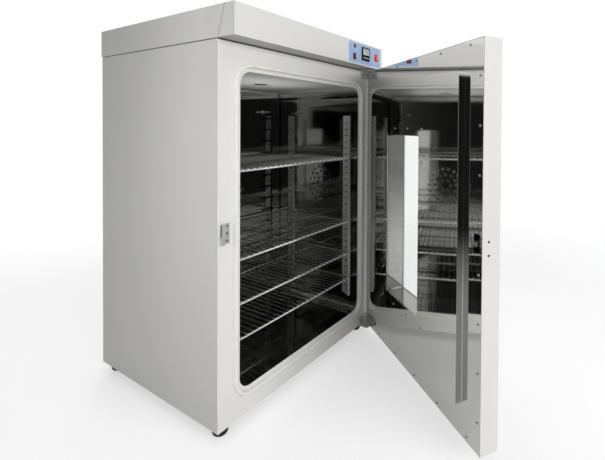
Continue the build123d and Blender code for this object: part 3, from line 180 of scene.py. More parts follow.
def ring_sweep(half_width, half_height, radius, profile, place):
    """A profile of (outward, proud) points swept round a rounded rectangle.

    place(x, z, proud) gives the point; the profile is a closed loop."""
    verts, faces = [], []
    corners = [(1, 1, 0), (-1, 1, 90), (-1, -1, 180), (1, -1, 270)]
    steps = 16
    stations = 0
    for sx, sz, start in corners:
        cx, cz = sx * (half_width - radius), sz * (half_height - radius)
        for i in range(steps + 1):
            a = math.radians(start + 90 * i / steps)
            for out, proud in profile:
                r = radius + out
                verts.append(place(cx + r * math.cos(a), cz + r * math.sin(a), proud))
            stations += 1
    n = len(profile)
    for i in range(stations):
        j = (i + 1) % stations
        for k in range(n):
            m = (k + 1) % n
            faces.append([i * n + k, i * n + m, j * n + m, j * n + k])
    return verts, faces


def screw_head(radius, height):
    """A cross-recessed screw head that stands on Z = 0."""
    sides, arm, web = 24, 0.55, 0.13
    profile = [(1.0, 0.0), (1.0, 0.35), (0.93, 0.66), (0.8, 0.88), (0.68, 1.0)]
    verts, faces = lathe([(r * radius, h * height) for r, h in profile], sides)
    rim = list(range(len(verts) - sides, len(verts)))
    a, w = arm * radius, web * radius
    cross = [(w, w), (w, a), (-w, a), (-w, w), (-a, w), (-a, -w),
             (-w, -w), (-w, -a), (w, -a), (w, -w), (a, -w), (a, w)]
    flat = [Vector(verts[i][:2]) for i in rim] + [Vector(c) for c in cross]
    edges = [(i, (i + 1) % sides) for i in range(sides)]
    edges += [(sides + i, sides + (i + 1) % 12) for i in range(12)]
    found = delaunay_2d_cdt(flat, edges, [], 0, 1e-9)
    top = len(verts)
    low = top + 12
    verts += [Vector((c[0], c[1], height)) for c in cross]
    verts += [Vector((c[0] * 0.8, c[1] * 0.8, height * 0.25)) for c in cross]
    index = rim + list(range(top, low))
    for tri in found[2]:
        centre = sum((found[0][i] for i in tri), Vector((0, 0))) / 3
        x, y = abs(centre.x), abs(centre.y)
        if (x < w and y < a) or (y < w and x < a):
            continue
        faces.append([index[found[3][i][0]] for i in tri])
    for i in range(12):
        j = (i + 1) % 12
        faces.append([top + j, top + i, low + i, low + j])
    floors = [(0, 3, 6, 9), (0, 1, 2, 3), (3, 4, 5, 6), (6, 7, 8, 9), (9, 10, 11, 0)]
    faces += [[low + i for i in quad] for quad in floors]
    return verts, faces


# Materials
def skin(name, colour, rough, metal=0.0, **sockets):
    """A Principled material; extra sockets are given by name with underscores."""
    made = bpy.data.materials.new(name)
    made.use_nodes = True
    shader = made.node_tree.nodes["Principled BSDF"]
    shader.inputs["Base Color"].default_value = (*colour, 1)
    shader.inputs["Roughness"].default_value = rough
    shader.inputs["Metallic"].default_value = metal
    for key, value in sockets.items():
        shader.inputs[key.replace("_", " ")].default_value = value
    return made


def noise(made, scale, stretch=(1, 1, 1), detail=3.0, kind="ShaderNodeTexNoise"):
    """A noise over the piece's own coordinates, stretched along its axes."""
    tree = made.node_tree
    where = tree.nodes.new("ShaderNodeTexCoord")
    mapping = tree.nodes.new("ShaderNodeMapping")
    mapping.inputs["Scale"].default_value = stretch
    texture = tree.nodes.new(kind)
    texture.inputs["Scale"].default_value = scale
    if "Detail" in texture.inputs:
        texture.inputs["Detail"].default_value = detail
    tree.links.new(where.outputs["Object"], mapping.inputs["Vector"])
    tree.links.new(mapping.outputs["Vector"], texture.inputs["Vector"])
    return texture.outputs["Distance" if "Distance" in texture.outputs else 0]


def spread(made, value, low, high, start=0.3, stop=0.7):
    """Maps a value to a range of numbers."""
    span = made.node_tree.nodes.new("ShaderNodeMapRange")
    for key, number in (("From Min", start), ("From Max", stop), ("To Min", low), ("To Max", high)):
        span.inputs[key].default_value = number
    made.node_tree.links.new(value, span.inputs["Value"])
    return span.outputs["Result"]


def tint(made, factor, first, second):
    """Colours the piece between two colours by a factor."""
    tree = made.node_tree
    blend = tree.nodes.new("ShaderNodeMix")
    blend.data_type = "RGBA"
    blend.inputs["A"].default_value = (*first, 1)
    blend.inputs["B"].default_value = (*second, 1)
    tree.links.new(factor, blend.inputs["Factor"])
    tree.links.new(blend.outputs["Result"], tree.nodes["Principled BSDF"].inputs["Base Color"])


def roughen(made, value):
    tree = made.node_tree
    tree.links.new(value, tree.nodes["Principled BSDF"].inputs["Roughness"])


def relief(made, *layers):
    """Chains bumps, each (height, strength, distance in metres)."""
    tree = made.node_tree
    before = None
    for height, strength, distance in layers:
        bump = tree.nodes.new("ShaderNodeBump")
        bump.inputs["Strength"].default_value = strength
        bump.inputs["Distance"].default_value = distance
        tree.links.new(height, bump.inputs["Height"])
        if before:
            tree.links.new(before, bump.inputs["Normal"])
        before = bump.outputs["Normal"]
    tree.links.new(before, tree.nodes["Principled BSDF"].inputs["Normal"])


def along(made, axis):
    """The piece's own coordinate along an axis, in metres."""
    tree = made.node_tree
    where = tree.nodes.new("ShaderNodeTexCoord")
    axes = tree.nodes.new("ShaderNodeSeparateXYZ")
    tree.links.new(where.outputs["Object"], axes.inputs[0])
    return axes.outputs[axis]


def band(made, axis, low, high, start, stop):
    """A number that runs from low to high between two places along an axis."""
    return spread(made, along(made, axis), low, high, start, stop)


def across(made, direction, offset):
    """The piece's own place along any direction, less an offset, in metres."""
    tree = made.node_tree
    where = tree.nodes.new("ShaderNodeTexCoord")
    dot = tree.nodes.new("ShaderNodeVectorMath")
    dot.operation = "DOT_PRODUCT"
    dot.inputs[1].default_value = direction
    tree.links.new(where.outputs["Object"], dot.inputs[0])
    return reckon(made, "SUBTRACT", dot.outputs["Value"], offset)


def reckon(made, operation, first, second=0.0, clamp=False):
    """One step of arithmetic on a value, with a number or another value."""
    tree = made.node_tree
    step = tree.nodes.new("ShaderNodeMath")
    step.operation = operation
    step.use_clamp = clamp
    tree.links.new(first, step.inputs[0])
    if isinstance(second, float):
        step.inputs[1].default_value = second
    else:
        tree.links.new(second, step.inputs[1])
    return step.outputs[0]


def lay_painted_shade(made, factor, colour):
    """Lays a painted shade, another colour, over the piece's own by a factor."""
    tree = made.node_tree
    target = tree.nodes["Principled BSDF"].inputs["Base Color"]
    blend = tree.nodes.new("ShaderNodeMix")
    blend.data_type = "RGBA"
    blend.inputs["B"].default_value = (*colour, 1)
    tree.links.new(target.links[0].from_socket, blend.inputs["A"])
    tree.links.new(factor, blend.inputs["Factor"])
    tree.links.new(blend.outputs["Result"], target)


def plate(made, value):
    """Sets how metallic the piece is by a value."""
    tree = made.node_tree
    tree.links.new(value, tree.nodes["Principled BSDF"].inputs["Metallic"])


def shaded(colour, factor):
    """A colour made darker."""
    return tuple(c * factor for c in colour)


def painted(name, colour):
    """Powder coat: fine orange peel, faint soiling and uneven sheen."""
    made = skin(name, colour, 0.42)
    tint(made, spread(made, noise(made, 5.0, detail=5.0), 0.0, 1.0), shaded(colour, 0.965), colour)
    roughen(made, spread(made, noise(made, 14.0, detail=4.0), 0.36, 0.48))
    relief(
        made,
        (noise(made, 2.2, detail=1.0), 0.25, 0.0010),
        (noise(made, 700.0, detail=2.0), 0.10, 0.0002),
    )
    return made


def polished(name, colour, rough_low, rough_high, wave):
    """Mirror-finished sheet: slow waves in the reflection, smears and a faint grain."""
    made = skin(name, colour, rough_low, 1.0)
    roughen(made, spread(made, noise(made, 9.0, detail=6.0), rough_low, rough_high))
    relief(
        made,
        (noise(made, 4.5, (1, 1, 0.6), 1.0), wave, 0.0022),
        (noise(made, 40.0, (1, 1, 60)), 0.03, 0.0001),
    )
    return made


def metal(name, colour, rough, grain=(1, 1, 1)):
    """Plain metal with a stretched grain or a fine even one."""
    made = skin(name, colour, rough, 1.0)
    pattern = noise(made, 90.0, grain, 4.0)
    roughen(made, spread(made, pattern, rough * 0.8, rough * 1.25))
    relief(made, (pattern, 0.2, 0.0001))
    return made


def plastic(name, colour, rough, grain=1500.0, strength=0.15):
    """Moulded plastic with faint clouds and a fine grain."""
    made = skin(name, colour, rough)
    tint(made, spread(made, noise(made, 60.0), 0.0, 1.0), shaded(colour, 0.9), colour)
    relief(made, (noise(made, grain, detail=2.0), strength, 0.0001))
    return made


paint_colour = (0.775, 0.768, 0.750)
cabinet_paint = painted("cabinet_paint", paint_colour)
hood_paint = painted("hood_paint", paint_colour)
door_paint = painted("door_paint", paint_colour)

# Painted shade: the slanted joint between hood and fascia, the hood's underside and the gap under
# it are coloured darker, as shade falls there
seam_slope = seam_lean / hood_height
seam_place = seam_slope * hood_z + front_y + 0.0003
from_seam = reckon(hood_paint, "ABSOLUTE", across(hood_paint, (0, 1, seam_slope), seam_place))
# Painted shade in the slanted joint
seam_shade = spread(hood_paint, from_seam, 1.0, 0.0, 0.0006, 0.0014)
lay_painted_shade(hood_paint, seam_shade, shaded(paint_colour, 0.45))
# Painted shade on the hood's underside
underside = band(hood_paint, "Z", 1.0, 0.0, hood_z + 0.0002, hood_z + 0.0006)
lay_painted_shade(hood_paint, underside, shaded(paint_colour, 0.66))
# Painted shadow of the gap under the hood, along the top of the cabinet's front
top_line = band(cabinet_paint, "Z", 0.0, 1.0, hood_z - 0.0044, hood_z - 0.0034)
on_front = band(cabinet_paint, "Y", 1.0, 0.0, front_y + 0.0007, front_y + 0.0015)
gap_shadow = reckon(cabinet_paint, "MULTIPLY", top_line, on_front)
lay_painted_shade(cabinet_paint, gap_shadow, shaded(paint_colour, 0.12))

hinge_paint = painted("hinge_paint", shaded(paint_colour, 0.72))

# The chamber is polished steel, and its ceiling is satin and less metallic; the ceiling's lighter
# colour is a painted highlight of the light falling on it
liner_colour = (0.44, 0.44, 0.43)
liner_steel = polished("liner_steel", liner_colour, 0.03, 0.07, 0.2)
tree = liner_steel.node_tree
ceiling = band(liner_steel, "Z", 0.0, 1.0, chamber_top - 0.018, chamber_top - 0.002)
satin = tree.nodes.new("ShaderNodeMix")
smears = tree.nodes["Principled BSDF"].inputs["Roughness"].links[0].from_socket
tree.links.new(smears, satin.inputs["A"])
satin.inputs["B"].default_value = 0.36
tree.links.new(ceiling, satin.inputs["Factor"])
roughen(liner_steel, satin.outputs["Result"])
# Painted highlight: the ceiling's colour is made lighter
tint(liner_steel, ceiling, liner_colour, (0.78, 0.78, 0.76))
plate(liner_steel, spread(liner_steel, ceiling, 1.0, 0.35, 0.0, 1.0))

# Painted shade: the window's tunnel is coloured darker upwards
tunnel_colour = (0.40, 0.40, 0.39)
tunnel_steel = polished("tunnel_steel", tunnel_colour, 0.06, 0.14, 0.2)
upper_tunnel_shade = band(tunnel_steel, "Z", 0.0, 1.0, 0.42, 0.66)
tint(tunnel_steel, upper_tunnel_shade, tunnel_colour, (0.16, 0.16, 0.155))

# Painted shade: the raised door panel's wall on the latch side is coloured darker than its face
mirror_colour = (0.78, 0.78, 0.77)
door_steel = polished("door_steel", mirror_colour, 0.02, 0.06, 0.16)
outwards = across(door_steel, -door_x, pivot.dot(-door_x))
inwards = across(door_steel, -door_out, pivot.dot(-door_out))
flange_rise = door_inner_y - pivot.y
wall = reckon(
    door_steel, "MULTIPLY",
    spread(door_steel, outwards, 0.0, 1.0, plug_reach - 0.0015, plug_reach - 0.0007),
    spread(door_steel, inwards, 0.0, 1.0, flange_rise + 0.0006, flange_rise + 0.0016),
)
tint(door_steel, wall, mirror_colour, (0.36, 0.36, 0.35))

plated_colour = (0.72, 0.72, 0.71)
plated = metal("plated", plated_colour, 0.30)

# The uprights look whiter at the chamber's mouth than farther in
upright_steel = metal("upright_steel", (0.74, 0.74, 0.72), 0.34, (1, 1, 0.04))
plate(upright_steel, band(upright_steel, "Y", 0.60, 0.92, -0.20, -0.10))

# Painted highlights: the wires are coloured brighter at the chamber's mouth, and their front ends
# white and not metallic
wire_chrome = metal("wire_chrome", (0.86, 0.86, 0.85), 0.16)
mouth_highlight = band(wire_chrome, "Y", 1.0, 0.0, rim_front - 0.0020, rim_front + 0.0065)
tint(wire_chrome, mouth_highlight, (0.60, 0.60, 0.59), (0.96, 0.96, 0.95))
inner_metal = band(wire_chrome, "Y", 0.84, 0.975, rim_front + 0.0025, rim_front + 0.0065)
end_metal = band(wire_chrome, "Y", 0.0, 1.0, rim_front - 0.0047, rim_front - 0.0027)
plate(wire_chrome, reckon(wire_chrome, "MINIMUM", inner_metal, end_metal))

# The hood's frame is plated, and its packing strip in the gap is black
frame_steel = metal("frame_steel", plated_colour, 0.30)
packing = band(frame_steel, "Z", 1.0, 0.0, hood_z + 0.0001, hood_z + 0.0003)
tint(frame_steel, packing, plated_colour, (0.02, 0.02, 0.02))
plate(frame_steel, spread(frame_steel, packing, 1.0, 0.0, 0.0, 1.0))

chrome = metal("chrome", (0.84, 0.84, 0.84), 0.07)
screw_steel = metal("screw_steel", (0.55, 0.55, 0.54), 0.26)
aluminium = metal("aluminium", (0.70, 0.71, 0.72), 0.34, (0.05, 1, 1))
bronze = metal("bronze", (0.55, 0.38, 0.18), 0.35)

zinc = skin("zinc", (0.52, 0.53, 0.54), 0.4, 1.0)
spangle = noise(zinc, 90.0, kind="ShaderNodeTexVoronoi")
tint(zinc, spangle, (0.42, 0.43, 0.45), (0.62, 0.63, 0.64))
roughen(zinc, spread(zinc, spangle, 0.3, 0.5, 0.0, 1.0))

silicone = skin("silicone", (0.84, 0.84, 0.80), 0.42, Subsurface_Weight=0.12)
silicone.node_tree.nodes["Principled BSDF"].inputs["Subsurface Scale"].default_value = 0.002
clouds = spread(silicone, noise(silicone, 30.0), 0.0, 1.0)
tint(silicone, clouds, (0.79, 0.79, 0.745), (0.86, 0.86, 0.82))
relief(silicone, (noise(silicone, 420.0), 0.12, 0.0003))

rubber = skin("rubber", (0.018, 0.018, 0.019), 0.62)
dust = spread(rubber, noise(rubber, 60.0, detail=5.0), 0.0, 1.0)
tint(rubber, dust, (0.012, 0.012, 0.013), (0.035, 0.034, 0.032))
relief(rubber, (noise(rubber, 900.0), 0.25, 0.0002))

wool = skin("mineral_wool", (0.70, 0.58, 0.32), 0.95)
fibres = noise(wool, 160.0, (1, 0.2, 1), 8.0)
tint(wool, spread(wool, fibres, 0.0, 1.0), (0.50, 0.40, 0.20), (0.78, 0.68, 0.42))
relief(wool, (fibres, 0.9, 0.003))

glass = skin("clear_glass", (0.99, 0.998, 0.994), 0.0, IOR=1.15, Transmission_Weight=1.0)
roughen(glass, spread(glass, noise(glass, 12.0, detail=5.0), 0.0, 0.02))

label_colour = (0.365, 0.515, 0.775)
label_film = skin("label_film", label_colour, 0.32, Coat_Weight=0.35, Coat_Roughness=0.2)
fading = spread(label_film, noise(label_film, 25.0), 0.0, 1.0)
tint(label_film, fading, shaded(label_colour, 0.95), label_colour)
relief(label_film, (noise(label_film, 1200.0), 0.12, 0.0001))
label_print = plastic("label_print", (0.86, 0.88, 0.92), 0.4)

black_plastic = plastic("black_plastic", (0.018, 0.018, 0.020), 0.36)
grey_plastic = plastic("grey_plastic", (0.50, 0.51, 0.53), 0.42)
pale_plastic = plastic("pale_plastic", (0.78, 0.77, 0.74), 0.34)
dark_red = plastic("dark_red", (0.30, 0.012, 0.015), 0.22)
rocker_red = plastic("rocker_red", (0.72, 0.035, 0.045), 0.25, 1500.0, 0.05)
rocker_dark = plastic("rocker_dark", (0.34, 0.015, 0.02), 0.28, 1500.0, 0.05)
screen = skin("screen", (0.62, 0.66, 0.63), 0.16, Coat_Weight=0.8)
tint(screen, spread(screen, noise(screen, 120.0), 0.0, 1.0), (0.56, 0.60, 0.57), (0.68, 0.72, 0.69))
ink = plastic("ink", (0.03, 0.035, 0.035), 0.4)
motor_paint = plastic("motor_paint", (0.05, 0.055, 0.06), 0.45, 500.0, 0.3)

skins = {
    "cabinet_shell": cabinet_paint, "rear_panel": cabinet_paint, "chamber_liner": liner_steel,
    "insulation_jacket": wool, "door_insulation": wool, "door_gasket": silicone,
    "rubber_feet": rubber, "hood_frame": frame_steel, "hood_cover": hood_paint,
    "control_fascia": hood_paint, "control_label": label_film,
    "temperature_controller": black_plastic, "controller_display": screen,
    "set_key": grey_plastic, "shift_key": grey_plastic, "down_key": grey_plastic,
    "up_key": grey_plastic, "lamp_bezel": chrome, "lamp_lens": dark_red,
    "light_switch_frame": black_plastic, "light_switch_rocker": rocker_dark,
    "power_switch_frame": pale_plastic, "power_switch_rocker": rocker_red,
    "power_gland": black_plastic, "relay": pale_plastic, "heat_sink": aluminium,
    "terminal_block": pale_plastic, "vent_tube": zinc, "vent_rosette": plated,
    "vent_damper": plated, "shelf_uprights": upright_steel, "shelf_clips": plated,
    "air_duct_panel": liner_steel, "temperature_probe": plated, "fan_wheel": aluminium,
    "motor_shaft": plated, "motor_mount": zinc, "fan_motor": motor_paint,
    "tubular_heater": plated, "door_shell": door_paint, "door_inner_panel": door_steel,
    "inner_glass": glass, "outer_glass": glass, "outer_glass_seal": silicone,
    "window_tunnel": tunnel_steel, "latch_case": zinc, "hinge_bracket_bottom": hinge_paint,
    "hinge_bracket_top": hinge_paint, "hinge_pins": plated, "hinge_bushes": bronze,
    "strike_plate": chrome, "latch_tongue": plated, "handle_rose": chrome,
    "door_handle": chrome, "handle_spindle": plated,
}
for name, node in nodes.items():
    node.data.materials.clear()
    node.data.materials.append(skins.get(name, wire_chrome))

# Softened edges on sheet and moulded pieces in millimetres, as modifiers over the fixed meshes
softened = {
    "strike_plate": 0.4, "latch_tongue": 0.4, "shelf_clips": 0.3, "shelf_uprights": 0.35,
    "hinge_bracket_bottom": 0.4, "hinge_bracket_top": 0.4, "temperature_controller": 0.3,
    "light_switch_frame": 0.25, "power_switch_frame": 0.25, "light_switch_rocker": 0.35,
    "power_switch_rocker": 0.45, "vent_damper": 0.3, "window_tunnel": 0.25, "hood_frame": 0.3,
}
for name, width in softened.items():
    node = nodes[name]
    weld = node.modifiers.new("weld", "WELD")
    weld.merge_threshold = 1e-6
    bevel = node.modifiers.new("edge", "BEVEL")
    bevel.width = width * mm
    bevel.segments = 2
    bevel.limit_method = "ANGLE"
    bevel.angle_limit = math.radians(40)
    bevel.harden_normals = True

# Rubber, silicone and wire pieces that stand for the plain solids
foot_profile = [
    (0.0, 0.0), (15.5, 0.0), (17.2, 0.5), (18.6, 2.2), (20.2, 5.2), (20.4, 8.6), (19.5, 9.2),
    (19.5, 10.6), (20.6, 11.2), (20.8, 15.0), (19.9, 15.6), (19.9, 17.0), (21.0, 17.6),
    (21.3, 22.8), (21.9, 25.4), (22.0, 27.9), (0.0, 27.9),
]
foot = lathe([(r * mm, z * mm) for r, z in foot_profile], 56)
feet = [Matrix.Translation((x, y, 0)) for x in (-foot_x, foot_x) for y in (-foot_y, foot_y)]
made = piece("ribbed_feet", repeated(foot, feet), "cabinet", rubber)
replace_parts(made, "rubber_feet")

# The gasket's section is a flat foot with a round bulb on it, in (outward, proud) millimetres
bulb = [(0.0, 0.0), (0.0, 2.2), (0.5, 2.8), (1.6, 3.1)]
bulb += [
    (7.0 + 5.3 * math.cos(math.radians(a)), 5.1 + 5.3 * math.sin(math.radians(a)))
    for a in range(200, -21, -20)
]
bulb += [(12.4, 3.1), (13.5, 2.8), (14.0, 2.2), (14.0, 0.0)]
gasket_half_width, gasket_half_height, gasket_corner = 0.291, 0.437, 0.045
gasket = ring_sweep(
    gasket_half_width, gasket_half_height, gasket_corner,
    [(out * mm, proud * mm) for out, proud in bulb],
    lambda x, z, proud: Vector((x, front_y - proud, chamber_middle + z)),
)
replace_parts(piece("gasket_bulb", gasket, "cabinet", silicone), "door_gasket")

# Each shelf is a bent rim with a middle rod, and 25 wires welded across them
rod_radius, wire_radius, wire_pitch, wire_rise = 0.003, 0.0016, 0.021, 0.0039
rim = []
for cx, cy, start in [
    (rim_x, rim_rear, 0), (-rim_x, rim_rear, 90), (-rim_x, rim_front, 180), (rim_x, rim_front, 270)
]:
    for i in range(7):
        a = math.radians(start + 15 * i)
        rim.append((
            cx - math.copysign(rim_round, cx) + rim_round * math.cos(a),
            cy - math.copysign(rim_round, cy) + rim_round * math.sin(a),
            0,
        ))
middle_y = (rim_front + rim_rear) / 2
bead = lathe([(0.0, -0.8), (1.5, -0.5), (2.3, 0.0), (1.5, 0.5), (0.0, 0.8)], 10)
bead = ([v * mm for v in bead[0]], bead[1])
shelf_shapes = [
    tube(rim, rod_radius, 16, True),
    tube([(-rim_x, middle_y, 0), (rim_x, middle_y, 0)], rod_radius, 16),
]
for i in range(25):
    x = wire_pitch * (i - 12)
    ends = [(x, rim_front - 0.0065, wire_rise), (x, rim_rear + 0.0022, wire_rise)]
    shelf_shapes.append(tube(ends, wire_radius, 12))
    for y in (rim_front, middle_y, rim_rear):
        shelf_shapes.append(placed(bead, Matrix.Translation((x, y, 0.0026))))
for y in (middle_y - 0.0015, middle_y + 0.0015):
    for x in (-rim_x, rim_x):
        weld_spot = Matrix.Translation((x * 0.992, y, 0.001)) @ Matrix.Scale(1.3, 4)
        shelf_shapes.append(placed(bead, weld_spot))
shelf = joined(shelf_shapes)
for number, level in rod_levels.items():
    made = piece(
        f"round_wire_shelf_{number}", placed(shelf, Matrix.Translation((0, 0, level))),
        f"shelf_{number}", wire_chrome,
    )
    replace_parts(made, f"wire_shelf_{number}")

# Screws
front, backward, upward = Vector((0, -1, 0)), Vector((0, 1, 0)), Vector((0, 0, 1))
inward = -door_out


def screws(name, radius, height, places, normal, body="cabinet"):
    """The same screw head at several places, each turned a little differently."""
    spots = [lay(p, normal, 0.7 * i) for i, p in enumerate(places)]
    piece(name, repeated(screw_head(radius, height), spots), body, screw_steel)


pan_radius, pan_height, hood_head = 0.00325, 0.0022, 0.0036
flange_columns = (-0.298, -0.167, -0.036, 0.095, 0.226, 0.335)
flange_rows = [(x, z) for z in (1.0116, 0.0444) for x in flange_columns]
flange_rows += [(x, 0.933 - 0.118 * i) for x in (-0.337, 0.337) for i in range(8)]
flange_places = [on_door(x, door_inner_y, z) for x, z in flange_rows]
screws("door_flange_screws", pan_radius, pan_height, flange_places, inward, "door")

window_rows = [(x, 0.225 + 0.0965 * i) for x in (-0.100, 0.157) for i in range(7)]
window_rows += [(x, z) for x in (-0.014, 0.071) for z in (0.225, 0.804)]
window_places = [on_door(x, plug_y, z) for x, z in window_rows]
screws("window_screws", pan_radius, pan_height, window_places, inward, "door")

# The heads on the hood's left and rear are sunk, so that they hardly pass the model's own box
for side, x, height in (("right", hood_side, 0.0016), ("left", 0.0002 - hood_side, 0.0003)):
    places = [(x, y, hood_z + 0.043) for y in (-0.2487, 0.2363)]
    screws("hood_side_screws_" + side, hood_head, height, places, (math.copysign(1, x), 0, 0))
hood_places = [(x, hood_rear_y, hood_z + 0.026) for x in (-0.3, 0.0, 0.3)]
screws("hood_rear_screws", hood_head, 0.0002, hood_places, backward)

strike_places = [(strike_x, strike_y, latch_z + 0.0194 * i) for i in (-1, 0, 1)]
screws("strike_screws", 0.0040, 0.0012, strike_places, front)
lock_places = [on_door(door_edge_x, pivot.y, latch_z + z) for z in (0.007, -0.026)]
screws("lock_screws", 0.0032, 0.0009, lock_places, -door_x, "door")
hinge_places = [(x, hinge_face_y, z) for x in (0.306, 0.338) for z in (0.044, 1.012)]
screws("hinge_screws", 0.0045, 0.0020, hinge_places, front)
duct_places = [(x, duct_y, z) for x in (-0.262, 0.262) for z in (0.120, chamber_middle, 0.936)]
screws("duct_screws", 0.0040, 0.0022, duct_places, front)
rosette_places = [
    (0.036 * math.cos(a), vent_y + 0.036 * math.sin(a), rosette_top)
    for a in (math.radians(45 + 90 * i) for i in range(4))
]
screws("rosette_screws", 0.0030, 0.0018, rosette_places, upward)
rose_face_y = door_outer_y - rose_height
rose_places = [on_door(rose_x, rose_face_y, latch_z + z) for z in (0.0185, -0.0185)]
screws("rose_screws", 0.0026, 0.0012, rose_places, door_out, "door")
rear_rows = [(x, z) for x in (-0.33, -0.11, 0.11, 0.33) for z in (0.046, 1.010)]
rear_rows += [(x, z) for x in (-0.338, 0.338) for z in (0.285, chamber_middle, 0.770)]
rear_places = [(x, rear_y, z) for x, z in rear_rows]
screws("rear_screws", 0.0036, 0.0020, rear_places, backward)

# Rims pressed round the intake's holes in the duct panel
rim_section = [(6.3, 0.0), (6.3, 0.45), (6.7, 0.7), (7.6, 0.6), (8.4, 0.2), (8.6, 0.0)]
hole_rim = lathe([(r * mm, h * mm) for r, h in rim_section], 28)
holes = [
    (0.026 * ring, 2 * math.pi * i / (6 * ring)) for ring in (1, 2, 3) for i in range(6 * ring)
]
rims = [
    lay((r * math.cos(a), duct_y, chamber_middle + r * math.sin(a)), front) for r, a in holes
]
piece("intake_rims", repeated(hole_rim, rims), "cabinet", liner_steel)

# Cord gland: hexagon nut, ribbed clamp and its bore
gland_body = [
    (4.5, -9.9), (9.8, -9.9), (9.8, 6.0), (10.0, 6.4), (10.0, 13.2), (9.3, 15.0), (7.8, 15.9),
    (5.4, 16.0), (4.5, 15.2), (4.5, -9.9),
]
gland_verts, gland_faces = lathe([(r * mm, z * mm) for r, z in gland_body], 72)
for i, v in enumerate(gland_verts):
    if 0.0055 < v.z < 0.0155 and (i // 3) % 2:
        v.xy *= 0.955
nut = [(9.9, 0.05), (14.2, 0.05), (14.9, 0.7), (14.9, 5.3), (14.0, 6.0), (9.9, 6.0)]
nut_verts, nut_faces = lathe([(r * mm, z * mm) for r, z in nut], 6)
gland = joined([(gland_verts, gland_faces), (nut_verts, nut_faces)])
gland = placed(gland, lay(gland_place, backward))
made = piece("ribbed_gland", gland, "cabinet", black_plastic)
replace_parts(made, "power_gland")

# Pressed lips over the rear panel's cooling slots
lip_section = [
    (-0.3, 6.5), (1.2, 5.4), (2.2, 3.6), (2.4, 2.6),
    (1.9, 2.5), (1.4, 3.6), (0.6, 4.8), (-0.3, 5.4),
]
lip_verts, lip_faces = [], []
stations = [(-56.0, 0.0), (-54.5, 0.55), (-51.0, 1.0), (51.0, 1.0), (54.5, 0.55), (56.0, 0.0)]
for x, full in stations:
    for out, z in lip_section:
        lip_verts.append(Vector((x, -0.3 + (out + 0.3) * full, z)) * mm)
n = len(lip_section)
for i in range(len(stations) - 1):
    for k in range(n):
        m = (k + 1) % n
        lip_faces.append([i * n + k, i * n + m, (i + 1) * n + m, (i + 1) * n + k])
slots = [
    Matrix.Translation((x, rear_y, chamber_middle + 0.014 * (row - 4.5) - 0.002))
    for x in (-0.0715, 0.0715) for row in range(10)
]
lips = repeated((lip_verts, lip_faces), slots)
piece("louvre_lips", lips, "cabinet", cabinet_paint)

# Control panel
panel_turn = Matrix(((1, 0, 0, 0), (0, 0, -1, 0), (0, 1, 0, 0), (0, 0, 0, 1)))


def on_panel(x, z, y):
    """A frame on a front-facing surface: its own X and Y are the oven's X and Z."""
    return Matrix.Translation((x, y, z)) @ panel_turn


def strip(points, width, height):
    """A thin raised line through points in its own XY plane, with soft edges."""
    verts, faces = [], []
    count = len(points)
    for i, p in enumerate(points):
        p = Vector(p)
        a = Vector(points[max(i - 1, 0)])
        b = Vector(points[min(i + 1, count - 1)])
        way = (b - a).normalized()
        side = Vector((-way.y, way.x))
        for share, rise in ((-0.5, 0.0), (-0.42, 1.0), (0.42, 1.0), (0.5, 0.0)):
            q = p + side * share * width
            verts.append(Vector((q.x, q.y, rise * height)))
    for i in range(count - 1):
        for k in range(4):
            m = (k + 1) % 4
            faces.append([i * 4 + k, i * 4 + m, i * 4 + 4 + m, i * 4 + 4 + k])
    faces += [[0, 1, 2, 3], [count * 4 - 1, count * 4 - 2, count * 4 - 3, count * 4 - 4]]
    return verts, faces


def rounded_loop(width, height, radius):
    """The points of a closed rounded rectangle, with the first one again at the end."""
    points = []
    for sx, sy, start in [(1, 1, 0), (-1, 1, 90), (-1, -1, 180), (1, -1, 270)]:
        for i in range(7):
            a = math.radians(start + 15 * i)
            points.append((
                sx * (width / 2 - radius) + radius * math.cos(a),
                sy * (height / 2 - radius) + radius * math.sin(a),
            ))
    return points + points[:1]


# White lines printed on the label: (x, z, width, height, corner, line), and two upright ones
print_height = 0.00006
printed = [
    (0.2315, panel_z, 0.204, 0.066, 0.003, 0.0007), (0.161, 1.093, 0.019, 0.019, 0.002, 0.0005),
    (0.1615, 1.057, 0.024, 0.029, 0.002, 0.0005), (0.3015, panel_z, 0.033, 0.043, 0.002, 0.0005),
]
print_shapes = [
    placed(strip(rounded_loop(width, height, corner), line, print_height), on_panel(x, z, label_y))
    for x, z, width, height, corner, line in printed
]
divider = strip([(0, -0.024), (0, 0.024)], 0.0006, print_height)
print_shapes += [placed(divider, on_panel(x, panel_z, label_y)) for x in (0.186, 0.275)]
piece("label_lines", joined(print_shapes), "cabinet", label_print)

segments = {
    "a": [(0.12, 1.0), (0.88, 1.0)], "b": [(1.0, 0.94), (1.0, 0.54)],
    "c": [(1.0, 0.46), (1.0, 0.06)], "d": [(0.12, 0.0), (0.88, 0.0)],
    "e": [(0.0, 0.46), (0.0, 0.06)], "f": [(0.0, 0.94), (0.0, 0.54)],
    "g": [(0.14, 0.5), (0.86, 0.5)],
}
lit_segments = {"0": "abcdef", "1": "bc", "5": "afgcd"}


def digits(text, left, bottom, wide, high, line):
    """Seven-segment figures in their own XY plane."""
    shapes = []
    at = left
    for mark in text:
        if mark == ".":
            x = at - wide * 0.32
            shapes.append(strip([(x, bottom), (x, bottom + line)], line, 0.0001))
            continue
        for name in lit_segments[mark]:
            ends = [(at + wide * u, bottom + high * v) for u, v in segments[name]]
            shapes.append(strip(ends, line, 0.0001))
        at += wide * 1.65
    return joined(shapes)


figures = joined([
    digits("105.0", -0.0150, 0.0005, 0.0046, 0.0078, 0.0011),
    digits("105.0", -0.0060, -0.0078, 0.0030, 0.0050, 0.0007),
])
figures = placed(figures, on_panel(0.2305, 1.081, display_y))
piece("display_figures", figures, "cabinet", ink)

